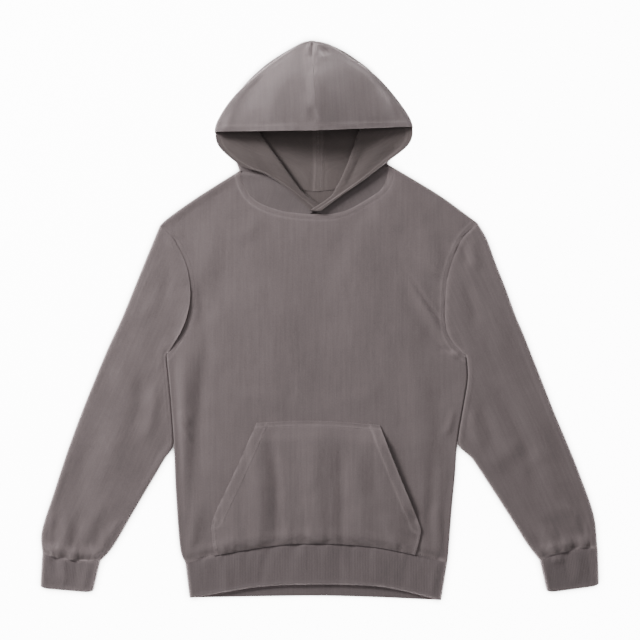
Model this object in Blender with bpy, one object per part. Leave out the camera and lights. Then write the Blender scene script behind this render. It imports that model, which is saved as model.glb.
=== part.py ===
"""A pullover hoodie laid flat on its back, its hood opened upwards.

Seen from above with the hood at the top, +X is to the right, and "left" and "right" in the names are
the sides at -X and +X. +Y runs from hem to hood and +Z is up from the surface. The origin is the middle
of the outline, on the surface. Every piece is a mid-surface that is worked out from the tables below
and then given a wall by a Solidify modifier.
"""

import bpy
import numpy as np

MM = 0.001

# Cloth.
WALL = 2.0 * MM  # fleece
RIB_WALL = 2.6 * MM  # the hem band and cuffs, folded double
SEAM_GAP = 0.3 * MM
LOW = WALL / 2  # middle of the layer that lies on the surface
ROLL = 2.8 * MM  # radius of the roll where a layer turns over at a side
MID = LOW + ROLL
REST = 4.2 * MM  # middle of a top layer that lies on the layer below
SETTLE = 18 * MM  # distance in which a side roll settles to REST
TOUCH_GAP = 3.2 * MM  # between a sleeve and the body that it lies against
NECK_END_CLEAR = 5.0 * MM  # more room where the hood's outer fold meets the shoulder seam's end
UNDERARM_CLEAR = 3.8 * MM  # more room between sleeve and body at the underarm
UNDERARM_POWER = 6  # how fast that room closes up the armhole
RIB_GAP = 0.6 * MM  # at the seams of the thicker bands

# Grid steps.
SIDE_STEPS = 8
BACK_SIDE_STEPS = 8
ARMHOLE_STEPS = 5
SHOULDER_STEPS = 3
NECK_STEPS = 6
HOOD_SUBROWS = 2
FLAP_STEPS = 6
LAPEL_STEPS = 4
HOOD_BACK_STEPS = 6
CUFF_STEPS = 2
POCKET_STEPS = (7, 8)
EDGE_STEPS = 24  # of a long outline that distances are measured from
SHOULDER_EDGE_STEPS = 12
CURVE_STEPS = 24  # points between two rows of a table, where it is read as a smooth curve
HEM_STEPS = 200  # points of the hem seam that the pocket's base is read from
ROLL_STEP = 0.29  # share of the roll at its middle column
ROLL_COLUMNS = 4  # columns that the two side rolls add to an outline's even steps

# Outlines seen from above, (x, y) in millimetres, each from its lower or outer end.
SIDE = {
    "left": [(-218, -396), (-227, -369), (-234, -276), (-237, -200), (-242, -130), (-249, -56)],
    "right": [(206, -395), (208, -380), (214, -304), (219, -252), (223, -195), (232, -140),
              (239, -95), (237, -59)],
}
ARMHOLE = {
    "left": [(-249, -56), (-224, -15), (-213, 20), (-211, 50), (-216, 84), (-226, 110), (-241, 135),
             (-260, 153)],
    "right": [(237, -59), (213, -33), (204, -4), (204, 30), (206, 61), (212, 89), (220, 110),
              (233, 135), (256, 157)],
}
SHOULDER = {
    "left": [(-260, 153), (-246, 166), (-201, 198), (-130, 243)],
    "right": [(256, 157), (236, 172), (190, 201), (112, 246)],
}
NECK_FRONT = {
    "left": [(-130, 243), (-122, 215), (-108, 197), (-84, 184), (-54, 176), (-17, 172)],
    "right": [(112, 246), (110, 227), (99, 212), (82, 201), (51, 182), (27, 174), (7, 172)],
}
NECK_BACK = {
    "left": [(-130, 243), (-104, 228), (-66, 216), (-4, 209)],
    "right": [(112, 246), (88, 231), (56, 218), (-4, 209)],
}
HEM_FRONT = [(-218, -396), (-172, -384), (-77, -368), (-6, -364), (82, -369), (152, -382), (206, -395)]
HEM_BACK = [(-218, -396), (-100, -392), (-6, -390), (100, -392), (206, -395)]
BAND_FRONT = [(-211, -452), (-100, -434), (-6, -430), (82, -432), (138, -441), (196, -456)]
BAND_BACK = [(-211, -452), (-100, -450), (-6, -449), (82, -451), (196, -456)]

# Sleeve sections from armhole to cuff seam: x, y of the inner edge, then of the outer edge. Down to the
# row where the sleeve leaves the body the inner x follows the body's side.
SLEEVE = {
    "left": [(-249, -56, -260, 153), (-249, -62, -272, 124), (-248, -73, -286, 90),
             (-247, -92, -303, 48), (-244, -124, -321, 4), (-241, -160, -334, -24),
             (-241, -200, -346, -50), (-261, -238, -366, -98), (-284, -277, -388, -153),
             (-308, -318, -410, -213), (-331, -358, -432, -280), (-345, -378, -452, -344),
             (-359, -392, -451, -381)],
    "right": [(237, -59, 256, 157), (238, -65, 268, 128), (238, -76, 282, 92), (239, -94, 299, 50),
              (235, -125, 316, 6), (229, -158, 328, -22), (226, -193, 339, -50),
              (252, -230, 358, -98), (275, -265, 379, -149), (297, -299, 401, -199),
              (318, -332, 423, -254), (338, -364, 445, -318), (359, -391, 451, -372)],
}
BESIDE_BODY = 6  # sleeve sections whose inner edge lies against the body
BOW_REACH = 0.12  # share of the sleeve in which the armhole's curve straightens
CUFF_POWER = 6  # how late along the sleeve the cuff seam's bow sets in
CUFF_SEAM_BOW = {"left": (0, -5), "right": (2, 6)}
CUFF_END = {"left": (-371, -443, -454, -436), "right": (371, -443, 453, -432)}

# Kangaroo pocket: its corners and edges, (x, y) in millimetres.
POCKET_TOP = [(-103, -167), (-2, -164), (97, -171)]
POCKET_LEFT = [(-172, -381), (-176, -350), (-173, -321), (-140, -250), (-103, -167)]
POCKET_RIGHT = [(155, -381), (163, -350), (160, -328), (128, -250), (97, -171)]
POCKET_LIFT = 1.0 * MM
POCKET_ABOVE_HEM = 2.0 * MM
MOUTH_FROM = 0.2  # share of the pocket's height where its slanted mouths start
MOUTH_REACH = 0.08  # share of its width in which a mouth's lift dies out
POCKET_MOUTH_LIFT = {"left": 1.0 * MM, "right": 4.0 * MM}  # how far each open edge stands off

# Folds of the top layers: from x, y to x, y, half width and height, in millimetres.
FOLDS = [
    # x0,   y0,   x1,   y1, width, height
    (-211, -40, -222, -270, 17, 5.0),
    (150, -60, 176, -330, 20, 4.5),
    (150, 58, 236, -58, 12, 4.0),
    (-214, 30, -250, -60, 12, 3.5),
    (-280, -150, -312, -60, 18, 4.5),
    (320, -120, 396, -330, 20, 4.0),
    (-120, 60, -60, -90, 40, 3.0),
]
POCKET_FOLDS = [
    (-107, -200, -96, -372, 20, 5.0),
    (-8, -200, 4, -366, 22, 4.5),
]
FOLD_FADE = 14 * MM  # folds die out this far from a side

# Hood sections from peak to throat. The centre seam passes (x, y) at height z on the flap, and (x, y)
# on the back layer. Each half then folds at its side, at an inner fold and at an outer fold: x, y and
# the heights of the layers above and below. From the brow row on, the side column is the free edge.
HOOD_SEAM = [
    # row         flap x, y, z     back x, y
    ("peak", -14, 452, 9.0, -14, 452),
    ("crown", -12, 421, 25.0, -11, 407),
    ("apex", -10, 390, 36.0, -7, 362),
    ("temple", -7, 351, 42.0, -4, 325),
    ("brow", -6, 305, 44.0, -3, 294),
    ("notch", 0, 0, 0, -2, 249),
    ("shoulder", 0, 0, 0, -4, 209),
]
HOOD_HALF = {
    "left": [
        # side x, y, over, under; inner x, y, over, under; outer x, y, over
        (-15, 454, 8.6, 7.4, -15, 456, 6.2, 5.0, -15, 454, 3.6),
        (-88, 409, 13.0, 11.0, -92, 411, 8.6, 6.8, -88, 409, 4.4),
        (-136, 366, 16.0, 13.0, -133, 364, 10.4, 7.8, -134, 364, 5.2),
        (-162, 329, 17.5, 13.6, -116, 326, 11.0, 7.2, -152, 328, 5.4),
        (-170, 304, 18.0, 13.8, -99, 305, 11.2, 7.2, -151, 296, 5.4),
        (-130, 252, 18.0, 12.6, -62, 253, 11.2, 7.4, -135, 256, 5.0),
        (-96, 240, 18.0, 13.0, -45, 229, 11.0, 7.4, -130, 243, 4.4),
        (-82, 233, 0.0, 13.0, -39, 221, 10.4, 7.0, 0, 0, 0),
        (-54, 214, 0.0, 10.8, -26, 206, 8.8, 5.8, 0, 0, 0),
        (-17, 179, 0.0, 7.5, 1, 186, 7.2, 4.6, 0, 0, 0),
    ],
    "right": [
        (-13, 454, 8.6, 7.4, -13, 456, 6.2, 5.0, -13, 454, 3.6),
        (50, 424, 13.0, 11.0, 53, 427, 8.6, 6.8, 50, 424, 4.4),
        (93, 394, 16.0, 13.0, 90, 392, 10.4, 7.8, 91, 392, 5.2),
        (133, 347, 17.5, 13.8, 80, 343, 11.0, 7.4, 122, 343, 5.4),
        (150, 314, 18.0, 14.2, 64, 308, 11.6, 7.6, 132, 302, 5.4),
        (108, 254, 18.0, 14.0, 45, 253, 12.2, 8.2, 117, 259, 5.0),
        (83, 235, 18.0, 14.0, 34, 227, 12.0, 8.2, 112, 246, 4.4),
        (67, 224, 0.0, 14.0, 28, 217, 12.0, 8.2, 0, 0, 0),
        (42, 207, 0.0, 13.6, 17, 200, 12.2, 8.8, 0, 0, 0),
        (1, 177, 0.0, 12.8, -15, 178, 12.4, 9.6, 0, 0, 0),
    ],
}
BROW = 4  # the row whose flap ends in the free edge
SHOULDER_ROW = 6  # the row that ends on the back neck
HOOD_ROUND = 3.0 * MM  # length of cloth cut off each side of a fold to round it
FOLD_SHARE = 0.45  # the most of a short layer that its fold's round may take
NECK_BEND = 4  # power with which the back layer's rows bend to the neck's curve
DOME = 0.45  # share of the flap's height that follows a dome, the rest a straight slope

CLOTH = (0.165, 0.142, 0.144)
RIB = (0.135, 0.114, 0.118)
LINING = (0.155, 0.133, 0.134)


def clear_scene():
    for obj in list(bpy.data.objects):
        bpy.data.objects.remove(obj, do_unlink=True)


def material(name, colour):
    """A matt cloth material."""
    made = bpy.data.materials.new(name)
    made.use_nodes = True
    shader = made.node_tree.nodes["Principled BSDF"]
    shader.inputs["Base Color"].default_value = (*colour, 1.0)
    shader.inputs["Roughness"].default_value = 0.92
    shader.inputs["Metallic"].default_value = 0.0
    return made


def smooth_rows(table, steps):
    """Rows added between a table's rows, on a Catmull-Rom curve through them."""
    rows = np.asarray(table, float)
    before = np.vstack([2 * rows[0] - rows[1], rows[:-1]])
    after = np.vstack([rows[1:], 2 * rows[-1] - rows[-2]])
    slope = (after - before) / 2
    t = np.arange(steps)[None, :, None] / steps
    p0, p1, m0, m1 = rows[:-1, None], rows[1:, None], slope[:-1, None], slope[1:, None]
    curve = (
        (2 * t**3 - 3 * t**2 + 1) * p0
        + (t**3 - 2 * t**2 + t) * m0
        + (3 * t**2 - 2 * t**3) * p1
        + (t**3 - t**2) * m1
    )
    return np.vstack([curve.reshape(-1, rows.shape[1]), rows[-1]])


def lengths(points):
    return np.concatenate([[0], np.cumsum(np.linalg.norm(np.diff(points, axis=0), axis=1))])


def on_curve(points, shares):
    """The points at these shares of the length of a smooth curve through a table, in metres."""
    fine = smooth_rows(points, CURVE_STEPS) * MM
    run = lengths(fine)
    return np.stack([np.interp(shares * run[-1], run, fine[:, k]) for k in range(fine.shape[1])], 1)


def even(steps):
    return np.linspace(0, 1, steps + 1)


def rolled(points, steps, ends=(True, True)):
    """Shares of a line: even steps, with two more in the roll at each end asked for."""
    total = lengths(smooth_rows(points, CURVE_STEPS) * MM)[-1]
    roll = np.array([0, ROLL_STEP, 1]) * ROLL / total
    first = roll[:2] if ends[0] else np.empty(0)
    last = 1 - roll[1::-1] if ends[1] else np.empty(0)
    start, stop = (roll[2] if ends[0] else 0), (1 - roll[2] if ends[1] else 1)
    return np.concatenate([first, np.linspace(start, stop, steps + 1), last])


def distance(plan, lines):
    """How far each plan point is from the nearest of these lines."""
    found = np.full(plan.shape[:-1], np.inf)
    for line in lines:
        a, b = line[:-1], line[1:]
        step = b - a
        away = plan[..., None, :] - a
        share = np.clip((away * step).sum(-1) / (step**2).sum(-1), 0, 1)
        near = np.linalg.norm(away - share[..., None] * step, axis=-1).min(-1)
        found = np.minimum(found, near)
    return found


def roll_rise(edge):
    """How far a layer has climbed off the roll's middle, at a distance from the side."""
    inside = 1 - np.clip(edge / ROLL, 0, 1)
    return ROLL * np.sqrt(1 - inside**2)


def folds(plan, table=FOLDS):
    """Height that the folds add, each a bell across its line and fading at its ends."""
    total = np.zeros(plan.shape[:-1])
    for x0, y0, x1, y1, width, height in table:
        start, end = np.array([x0, y0]) * MM, np.array([x1, y1]) * MM
        line = end - start
        away = plan - start
        share = (away @ line) / (line @ line)
        across = (away[..., 0] * line[1] - away[..., 1] * line[0]) / np.linalg.norm(line)
        fade = np.exp(-((2 * share - 1) ** 4))
        total += height * MM * np.exp(-((across / (width * MM)) ** 2)) * fade
    return total


def top_height(plan, edges):
    """Middle of a top layer: it climbs round the side roll, settles and then follows the folds."""
    edge = distance(plan, edges)
    settled = REST + (MID + ROLL - REST) * np.exp(-np.maximum(edge - ROLL, 0) / SETTLE)
    rolled_up = MID + roll_rise(edge)
    fade = np.clip((edge - ROLL) / FOLD_FADE, 0, 1) ** 2
    return np.where(edge < ROLL, rolled_up, settled) + fade * folds(plan)


def low_height(plan, edges, low=LOW):
    """Middle of a layer that lies on the surface and turns up at the sides."""
    return MID - (MID - low) / ROLL * roll_rise(distance(plan, edges))


def raised(plan, height):
    return np.concatenate([plan, height[..., None]], axis=-1)


def coons(bottom, top, left, right):
    """A patch between four edges, as a grid of rows from bottom to top."""
    u = (lengths(bottom) / lengths(bottom)[-1] + lengths(top) / lengths(top)[-1]) / 2
    v = (lengths(left) / lengths(left)[-1] + lengths(right) / lengths(right)[-1]) / 2
    u, v = u[None, :, None], v[:, None, None]
    ruled = (1 - v) * bottom[None] + v * top[None] + (1 - u) * left[:, None] + u * right[:, None]
    corners = (
        (1 - v) * ((1 - u) * bottom[0] + u * bottom[-1])
        + v * ((1 - u) * top[0] + u * top[-1])
    )
    return ruled - corners


def grid_faces(rows, columns, closed=False):
    """Quads of a grid, whose last column joins its first where it is closed."""
    i, j = np.meshgrid(np.arange(rows - 1), np.arange(columns - (not closed)), indexing="ij")
    n = (j + 1) % columns
    quads = np.stack([i * columns + j, i * columns + n, (i + 1) * columns + n, (i + 1) * columns + j], -1)
    return quads.reshape(-1, 4)


def sheet(name, points, faces, cloth, wall=WALL):
    """A cloth piece: its mid-surface with a wall, half to each side."""
    points = points.reshape(-1, 3)
    used, index = np.unique(faces, return_inverse=True)
    mesh = bpy.data.meshes.new(name)
    mesh.from_pydata(points[used].tolist(), [], index.reshape(faces.shape).tolist())
    mesh.shade_smooth()
    mesh.materials.append(cloth)
    obj = bpy.data.objects.new(name, mesh)
    bpy.context.scene.collection.objects.link(obj)
    solidify = obj.modifiers.new("wall", "SOLIDIFY")
    solidify.thickness = wall
    solidify.offset = 0.0
    solidify.use_even_offset = False
    return obj


def pulled_in(line, towards, gap=SEAM_GAP):
    """A seam edge moved off its seam, towards the next row of its own piece."""
    step = towards - line
    return line + gap * step / np.linalg.norm(step, axis=-1, keepdims=True)


def side_lines(side):
    """The body's silhouette on one side: below the armhole, and over the shoulder."""
    return [on_curve(SIDE[side], even(EDGE_STEPS)), on_curve(SHOULDER[side], even(SHOULDER_EDGE_STEPS))]


def body_edges():
    return side_lines("left") + side_lines("right")


def body_side(side, steps):
    """One side edge of a body panel, up the side and round the armhole."""
    low = on_curve(SIDE[side], even(steps))
    armhole = on_curve(ARMHOLE[side], rolled(ARMHOLE[side], ARMHOLE_STEPS))
    return np.vstack([low[:-1], armhole])


def body_top(neck, steps, joined):
    """The top edge of a body panel: shoulder, neck, shoulder."""
    parts = []
    for side in ("left", "right"):
        shoulder = on_curve(SHOULDER[side], rolled(SHOULDER[side], SHOULDER_STEPS, (True, False)))
        parts.append(np.vstack([shoulder[:-1], on_curve(neck[side], even(steps))]))
    left, right = parts
    return np.vstack([left[:-1] if joined else left, right[::-1]])


def hem_line(points, count):
    """A hem outline as this many points."""
    return on_curve(points, rolled(points, count - 1 - ROLL_COLUMNS))


def body_front(cloth):
    """The front panel, from hem seam to shoulders, with its sides rolled down to the back."""
    top = body_top(NECK_FRONT, NECK_STEPS, joined=False)
    bottom = hem_line(HEM_FRONT, len(top))
    left, right = body_side("left", SIDE_STEPS), body_side("right", SIDE_STEPS)
    plan = coons(bottom, top, left, right)
    height = top_height(plan, body_edges()) + seam_lift(plan)
    return sheet("front", raised(plan, height), grid_faces(*plan.shape[:2]), cloth)


def body_back(cloth):
    """The back panel, flat on the surface, with its sides turned up to the front."""
    top = body_top(NECK_BACK, HOOD_BACK_STEPS, joined=True)
    bottom = hem_line(HEM_BACK, len(top))
    left, right = body_side("left", BACK_SIDE_STEPS), body_side("right", BACK_SIDE_STEPS)
    plan = coons(bottom, top, left, right)
    height = np.maximum(low_height(plan, body_edges()) - seam_lift(plan), LOW)
    return sheet("back", raised(plan, height), grid_faces(*plan.shape[:2])[:, ::-1], cloth)


def seam_lift(plan):
    """Front and back part by this much at the side and shoulder seams, up or down, for the wall and gap."""
    part = np.clip(1 - distance(plan, body_edges()) / ROLL, 0, 1)
    return (WALL + SEAM_GAP) / 2 * part


def tube(name, rows, cloth, wall=WALL):
    """A flattened tube of cloth through closed rings."""
    count, around = rows.shape[:2]
    return sheet(name, rows, grid_faces(count, around, closed=True), cloth, wall)


def ring_across(points):
    """Shares across a sleeve, the same ones as on its armhole."""
    return rolled(points, ARMHOLE_STEPS)


def sleeve_lines(side):
    """Plan of a sleeve: a line across it at each section, from inner to outer edge."""
    table = np.array(SLEEVE[side], float) * MM
    inner, outer = table[:, :2].copy(), table[:, 2:]
    body = on_curve(SIDE[side], even(SIDE_STEPS))[::-1]
    outward = -1 if side == "left" else 1
    beside = inner[1:BESIDE_BODY, 1]
    inner[1:BESIDE_BODY, 0] = np.interp(-beside, -body[:, 1], body[:, 0]) + outward * TOUCH_GAP
    armhole = on_curve(ARMHOLE[side], ring_across(ARMHOLE[side]))
    across = (lengths(armhole) / lengths(armhole)[-1])[None, :, None]
    lines = inner[:, None] * (1 - across) + outer[:, None] * across
    bow = armhole - lines[0]
    along = np.linspace(0, 1, len(table))
    straighten = np.clip(1 - along / BOW_REACH, 0, 1) ** 2
    lines = lines + straighten[:, None, None] * bow
    seam = np.sin(np.pi * across[0, :, 0])[:, None] * np.array(CUFF_SEAM_BOW[side]) * MM
    lines = lines + (along**CUFF_POWER)[:, None, None] * seam
    lines[0] = off_armhole(armhole, outward)
    return lines


def square_to(curve, hand):
    """Unit steps square to a plan curve, to its right for a hand of 1 and to its left for -1."""
    along = unit(np.gradient(curve, axis=0))
    return hand * np.stack([along[:, 1], -along[:, 0]], axis=-1)


def off_armhole(curve, outward):
    """The armhole moved off its seam, square to it and a little more at the underarm."""
    reach = SEAM_GAP + UNDERARM_CLEAR * (1 - even(len(curve) - 1)) ** UNDERARM_POWER
    return curve + reach[:, None] * square_to(curve, outward)


def sleeve_rings(lines, low=LOW):
    """Rings of a flattened tube: over the top from inner to outer edge, and back underneath."""
    edges = [lines[:, 0], lines[:, -1]]
    over = raised(lines, top_height(lines, edges))
    under = raised(lines, low_height(lines, edges, low))
    return np.concatenate([over, under[:, -2:0:-1]], axis=1)


def sleeve(side, cloth):
    rings = sleeve_rings(sleeve_lines(side))
    return tube("sleeve_" + side, rings if side == "right" else rings[:, ::-1], cloth)


def cuff(side, cloth):
    """A cuff: it carries the sleeve's last ring on to the hand's end."""
    seam = sleeve_lines(side)[-1]
    end = np.array(CUFF_END[side], float) * MM
    across = (lengths(seam) / lengths(seam)[-1])[:, None]
    hand = end[:2] * (1 - across) + end[2:] * across
    seam = pulled_in(seam, hand, RIB_GAP)
    share = even(CUFF_STEPS)[:, None, None]
    lines = seam * (1 - share) + hand * share
    rings = sleeve_rings(lines, RIB_WALL / 2)
    return tube("cuff_" + side, rings if side == "right" else rings[:, ::-1], cloth, RIB_WALL)


def hem_band(cloth):
    """The band round the hem: a flattened tube, shorter in front than behind."""
    front_count = len(body_top(NECK_FRONT, NECK_STEPS, joined=False))
    back_count = len(body_top(NECK_BACK, HOOD_BACK_STEPS, joined=True))
    layers = []
    for seam, end, count in (
        (HEM_FRONT, BAND_FRONT, front_count),
        (HEM_BACK, BAND_BACK, back_count),
    ):
        top, bottom = hem_line(seam, count), hem_line(end, count)
        share = even(CUFF_STEPS)[:, None, None]
        layers.append(pulled_in(top, bottom, RIB_GAP) * (1 - share) + bottom * share)
    front, back = layers
    edges = [front[:, 0], front[:, -1]]
    over = raised(front, top_height(front, edges))
    under = raised(back, low_height(back, edges, RIB_WALL / 2))
    rings = np.concatenate([over, under[:, -2:0:-1]], axis=1)
    return tube("hem_band", rings[:, ::-1], cloth, RIB_WALL)


def pocket(cloth):
    """The kangaroo pocket, laid on the front panel, whose slanted mouths stand off it."""
    rows, columns = POCKET_STEPS
    hem = on_curve(HEM_FRONT, even(HEM_STEPS))
    left, right = on_curve(POCKET_LEFT, even(rows)), on_curve(POCKET_RIGHT, even(rows))
    base_x = np.linspace(left[0, 0], right[0, 0], columns + 1)
    base = np.stack([base_x, np.interp(base_x, hem[:, 0], hem[:, 1]) + POCKET_ABOVE_HEM], 1)
    left[0], right[0] = base[0], base[-1]
    plan = coons(base, on_curve(POCKET_TOP, even(columns)), left, right)
    height = top_height(plan, body_edges()) + WALL + POCKET_LIFT + folds(plan, POCKET_FOLDS)
    across, up = even(columns)[None, :], even(rows)[:, None]
    mouth = np.sin(np.pi * np.clip((up - MOUTH_FROM) / (1 - MOUTH_FROM), 0, 1))
    near = {"left": np.exp(-across / MOUTH_REACH), "right": np.exp(-(1 - across) / MOUTH_REACH)}
    for side, lift in POCKET_MOUTH_LIFT.items():
        height = height + lift * mouth * near[side]
    return sheet("pocket", raised(plan, height), grid_faces(*plan.shape[:2]), cloth)


def fillet(before, corner, after):
    """The two ends of a rounded corner, on the lines to the points before and after it."""
    ends = []
    for other in (before, after):
        step = other - corner
        length = np.linalg.norm(step, axis=-1, keepdims=True)
        ends.append(corner + step / length * np.minimum(HOOD_ROUND, FOLD_SHARE * length))
    return ends


def straight(start, end, steps):
    """Points from start towards end, without the end, as columns."""
    share = (np.arange(steps) / steps)[None, :, None]
    return start[:, None] * (1 - share) + end[:, None] * share


def hood_rows(side):
    """The named sections of a hood half with rows between them, and their row numbers."""
    seam = smooth_rows([row[1:] for row in HOOD_SEAM], HOOD_SUBROWS)
    flap_part = [row[1:] for row in HOOD_SEAM[: BROW + 1]]
    flap = smooth_rows(flap_part, HOOD_SUBROWS)[:, :3] * MM
    back = seam[:, 3:] * MM
    upper = smooth_rows(HOOD_HALF[side][: SHOULDER_ROW + 1], HOOD_SUBROWS)
    throat = smooth_rows(HOOD_HALF[side][SHOULDER_ROW:], HOOD_SUBROWS)
    half = np.vstack([upper, throat[1:]]) * MM
    return flap, back, half


def point(table, x, z):
    """A key point of every section: its plan columns and one of its heights."""
    return np.concatenate([table[:, x : x + 2], table[:, z : z + 1]], axis=1)


def hood_half(side, cloth):
    """Half of the hood: flap, lapel, the layer under it and the back layer, as one folded sheet."""
    flap, back, half = hood_rows(side)
    outward = -1 if side == "left" else 1
    flap[:, 0] += outward * SEAM_GAP / 2
    back[:, 0] += outward * SEAM_GAP / 2
    brow, shoulder = BROW * HOOD_SUBROWS, SHOULDER_ROW * HOOD_SUBROWS

    neck = on_curve(NECK_FRONT[side], even(NECK_STEPS))
    neck_height = top_height(neck, body_edges())
    side_over, side_under = point(half, 0, 2), point(half, 0, 3)
    inner_over, inner_under = point(half, 4, 6), point(half, 4, 7)
    outer_over = point(half, 8, 10)
    outer_over[shoulder:] = raised(neck, neck_height)
    neck_gap = SEAM_GAP + NECK_END_CLEAR * (2 * even(NECK_STEPS) - 1) ** 2
    outer_over[shoulder:, :2] += neck_gap[:, None] * square_to(neck, outward)
    outer_over[shoulder, 1] += NECK_END_CLEAR
    outer_low = outer_over.copy()
    outer_low[:, 2] = LOW

    flap_top = np.zeros_like(side_over)
    flap_top[: brow + 1] = flap
    centre = np.zeros_like(side_over)
    centre[: shoulder + 1, :2] = back
    centre[:, 2] = LOW

    a = fillet(flap_top, side_over, side_under)
    b = fillet(side_over, side_under, inner_over)
    c = fillet(side_under, inner_over, inner_under)
    d = fillet(inner_over, inner_under, outer_over)
    e = fillet(inner_under, outer_over, outer_low)
    f = fillet(outer_over, outer_low, centre)
    lapel_start = b[1].copy()
    lapel_start[brow + 1 :] = side_under[brow + 1 :]
    under_end = e[0].copy()
    under_end[shoulder + 1 :] = outer_over[shoulder + 1 :]

    share = (np.arange(FLAP_STEPS) / FLAP_STEPS)[None, :]
    top = straight(flap_top, a[0], FLAP_STEPS)
    rise = (flap_top[:, 2] - a[0][:, 2])[:, None]
    top[..., 2] += DOME * rise * (np.cos(share * np.pi / 2) - (1 - share))
    flap_columns = np.concatenate([top, a[0][:, None], a[1][:, None], b[0][:, None]], axis=1)
    lapel_columns = np.concatenate(
        [straight(lapel_start, c[0], LAPEL_STEPS), c[0][:, None], c[1][:, None], d[0][:, None],
         straight(d[1], under_end, LAPEL_STEPS), under_end[:, None]], axis=1)
    low = straight(f[1], centre, HOOD_BACK_STEPS)
    low = np.concatenate([low, centre[:, None]], axis=1)
    neck_curve = on_curve(NECK_BACK[side], even(HOOD_BACK_STEPS))
    bend = np.zeros(len(half))
    bend[: shoulder + 1] = even(shoulder) ** NECK_BEND
    neck_curve[:, 1] += SEAM_GAP + NECK_END_CLEAR * (1 - even(HOOD_BACK_STEPS)) ** 2
    low[..., :2] += bend[:, None, None] * (neck_curve - low[shoulder, :, :2])
    back_columns = np.concatenate([e[1][:, None], f[0][:, None], low], axis=1)

    points = np.concatenate([flap_columns, lapel_columns, back_columns], axis=1)
    rows, columns = points.shape[:2]
    faces = grid_faces(rows, columns).reshape(rows - 1, columns - 1, 4)
    lapel_at = flap_columns.shape[1]
    back_at = lapel_at + lapel_columns.shape[1] - 1
    kept = np.ones((rows - 1, columns - 1), bool)
    kept[brow:, :lapel_at] = False
    kept[shoulder:, back_at:] = False
    faces = faces[kept]
    return sheet("hood_" + side, points, faces if side == "left" else faces[:, ::-1], cloth)


def unit(vectors):
    return vectors / np.linalg.norm(vectors, axis=-1, keepdims=True)


def build():
    clear_scene()
    cloth, rib = material("fleece", CLOTH), material("rib", RIB)
    lining = material("hood_fleece", LINING)
    body_back(cloth)
    body_front(cloth)
    hem_band(rib)
    pocket(cloth)
    for side in ("left", "right"):
        sleeve(side, cloth)
        cuff(side, rib)
        hood_half(side, lining)


build()
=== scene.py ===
"""Looks of a pullover hoodie laid flat on its back, its hood opened towards the viewer.

+X is to the right as the laid-out front is seen, +Y runs from hem to hood and +Z is up from the
surface. Every panel is a surface z(x, y) over a plan that is worked out from the tables below, with a
wall from a Solidify modifier.
"""

import bpy
import numpy as np
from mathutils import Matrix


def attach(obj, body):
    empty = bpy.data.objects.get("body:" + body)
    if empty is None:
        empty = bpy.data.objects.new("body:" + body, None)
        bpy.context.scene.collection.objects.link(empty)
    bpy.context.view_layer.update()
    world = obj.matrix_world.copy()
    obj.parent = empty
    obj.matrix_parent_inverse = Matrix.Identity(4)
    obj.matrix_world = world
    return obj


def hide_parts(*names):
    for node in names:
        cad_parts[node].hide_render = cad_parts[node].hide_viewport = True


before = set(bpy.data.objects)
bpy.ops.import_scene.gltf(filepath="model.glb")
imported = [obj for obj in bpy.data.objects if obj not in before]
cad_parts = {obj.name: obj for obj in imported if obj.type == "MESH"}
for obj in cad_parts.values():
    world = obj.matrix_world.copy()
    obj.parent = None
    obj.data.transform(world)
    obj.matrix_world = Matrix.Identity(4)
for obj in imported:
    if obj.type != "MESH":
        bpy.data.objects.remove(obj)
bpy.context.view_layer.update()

bl_info = {
    "name": "Flat-laid Hoodie",
    "version": (1, 0, 0),
    "blender": (4, 5, 0),
    "location": "3D View > Sidebar > Hoodie",
    "description": "Builds the cloth, stitching and stage of a pullover hoodie laid flat",
    "category": "Add Mesh",
}

MM = 0.001
SEAM_GAP = 0.06 * MM
ROLL = 2.8 * MM  # radius of the roll where a layer turns over at a side
SETTLE = 18 * MM  # distance in which a side roll settles to its rest
TOUCH_GAP = 1.85 * MM  # between a sleeve and the body that it lies against
BOW_REACH = 0.12  # share of the sleeve in which the armhole's curve straightens

# Outlines seen from above, (x, y) in millimetres, each from its lower or outer end.
SIDE = {
    "left": [(-218, -396), (-227, -369), (-234, -276), (-237, -200), (-242, -130), (-249, -56)],
    "right": [(206, -395), (208, -380), (214, -304), (219, -252), (223, -195), (232, -140),
              (239, -95), (237, -59)],
}
ARMHOLE = {
    "left": [(-249, -56), (-224, -15), (-213, 20), (-211, 50), (-216, 84), (-226, 110), (-241, 135),
             (-260, 153)],
    "right": [(237, -59), (213, -33), (204, -4), (204, 30), (206, 61), (212, 89), (220, 110),
              (233, 135), (256, 157)],
}
SHOULDER = {
    "left": [(-260, 153), (-246, 166), (-201, 198), (-130, 243)],
    "right": [(256, 157), (236, 172), (190, 205), (110, 253)],
}
NECK_FRONT = {
    "left": [(-130, 243), (-122, 215), (-108, 197), (-84, 184), (-54, 176), (-17, 172)],
    "right": [(110, 253), (110, 231), (100, 213), (82, 200), (51, 182), (27, 174), (7, 172)],
}
NECK_BACK = {
    "left": [(-130, 243), (-104, 228), (-66, 216), (-4, 209)],
    "right": [(110, 253), (88, 232), (56, 218), (-4, 209)],
}
HEM_FRONT = [(-218, -396), (-172, -384), (-77, -368), (-6, -364), (82, -369), (152, -382), (206, -395)]
HEM_BACK = [(-218, -396), (-100, -392), (-6, -390), (100, -392), (206, -395)]
BAND_FRONT = [(-211, -452), (-100, -434), (-6, -430), (82, -432), (138, -441), (196, -456)]
BAND_BACK = [(-211, -452), (-100, -450), (-6, -449), (82, -451), (196, -456)]

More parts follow.
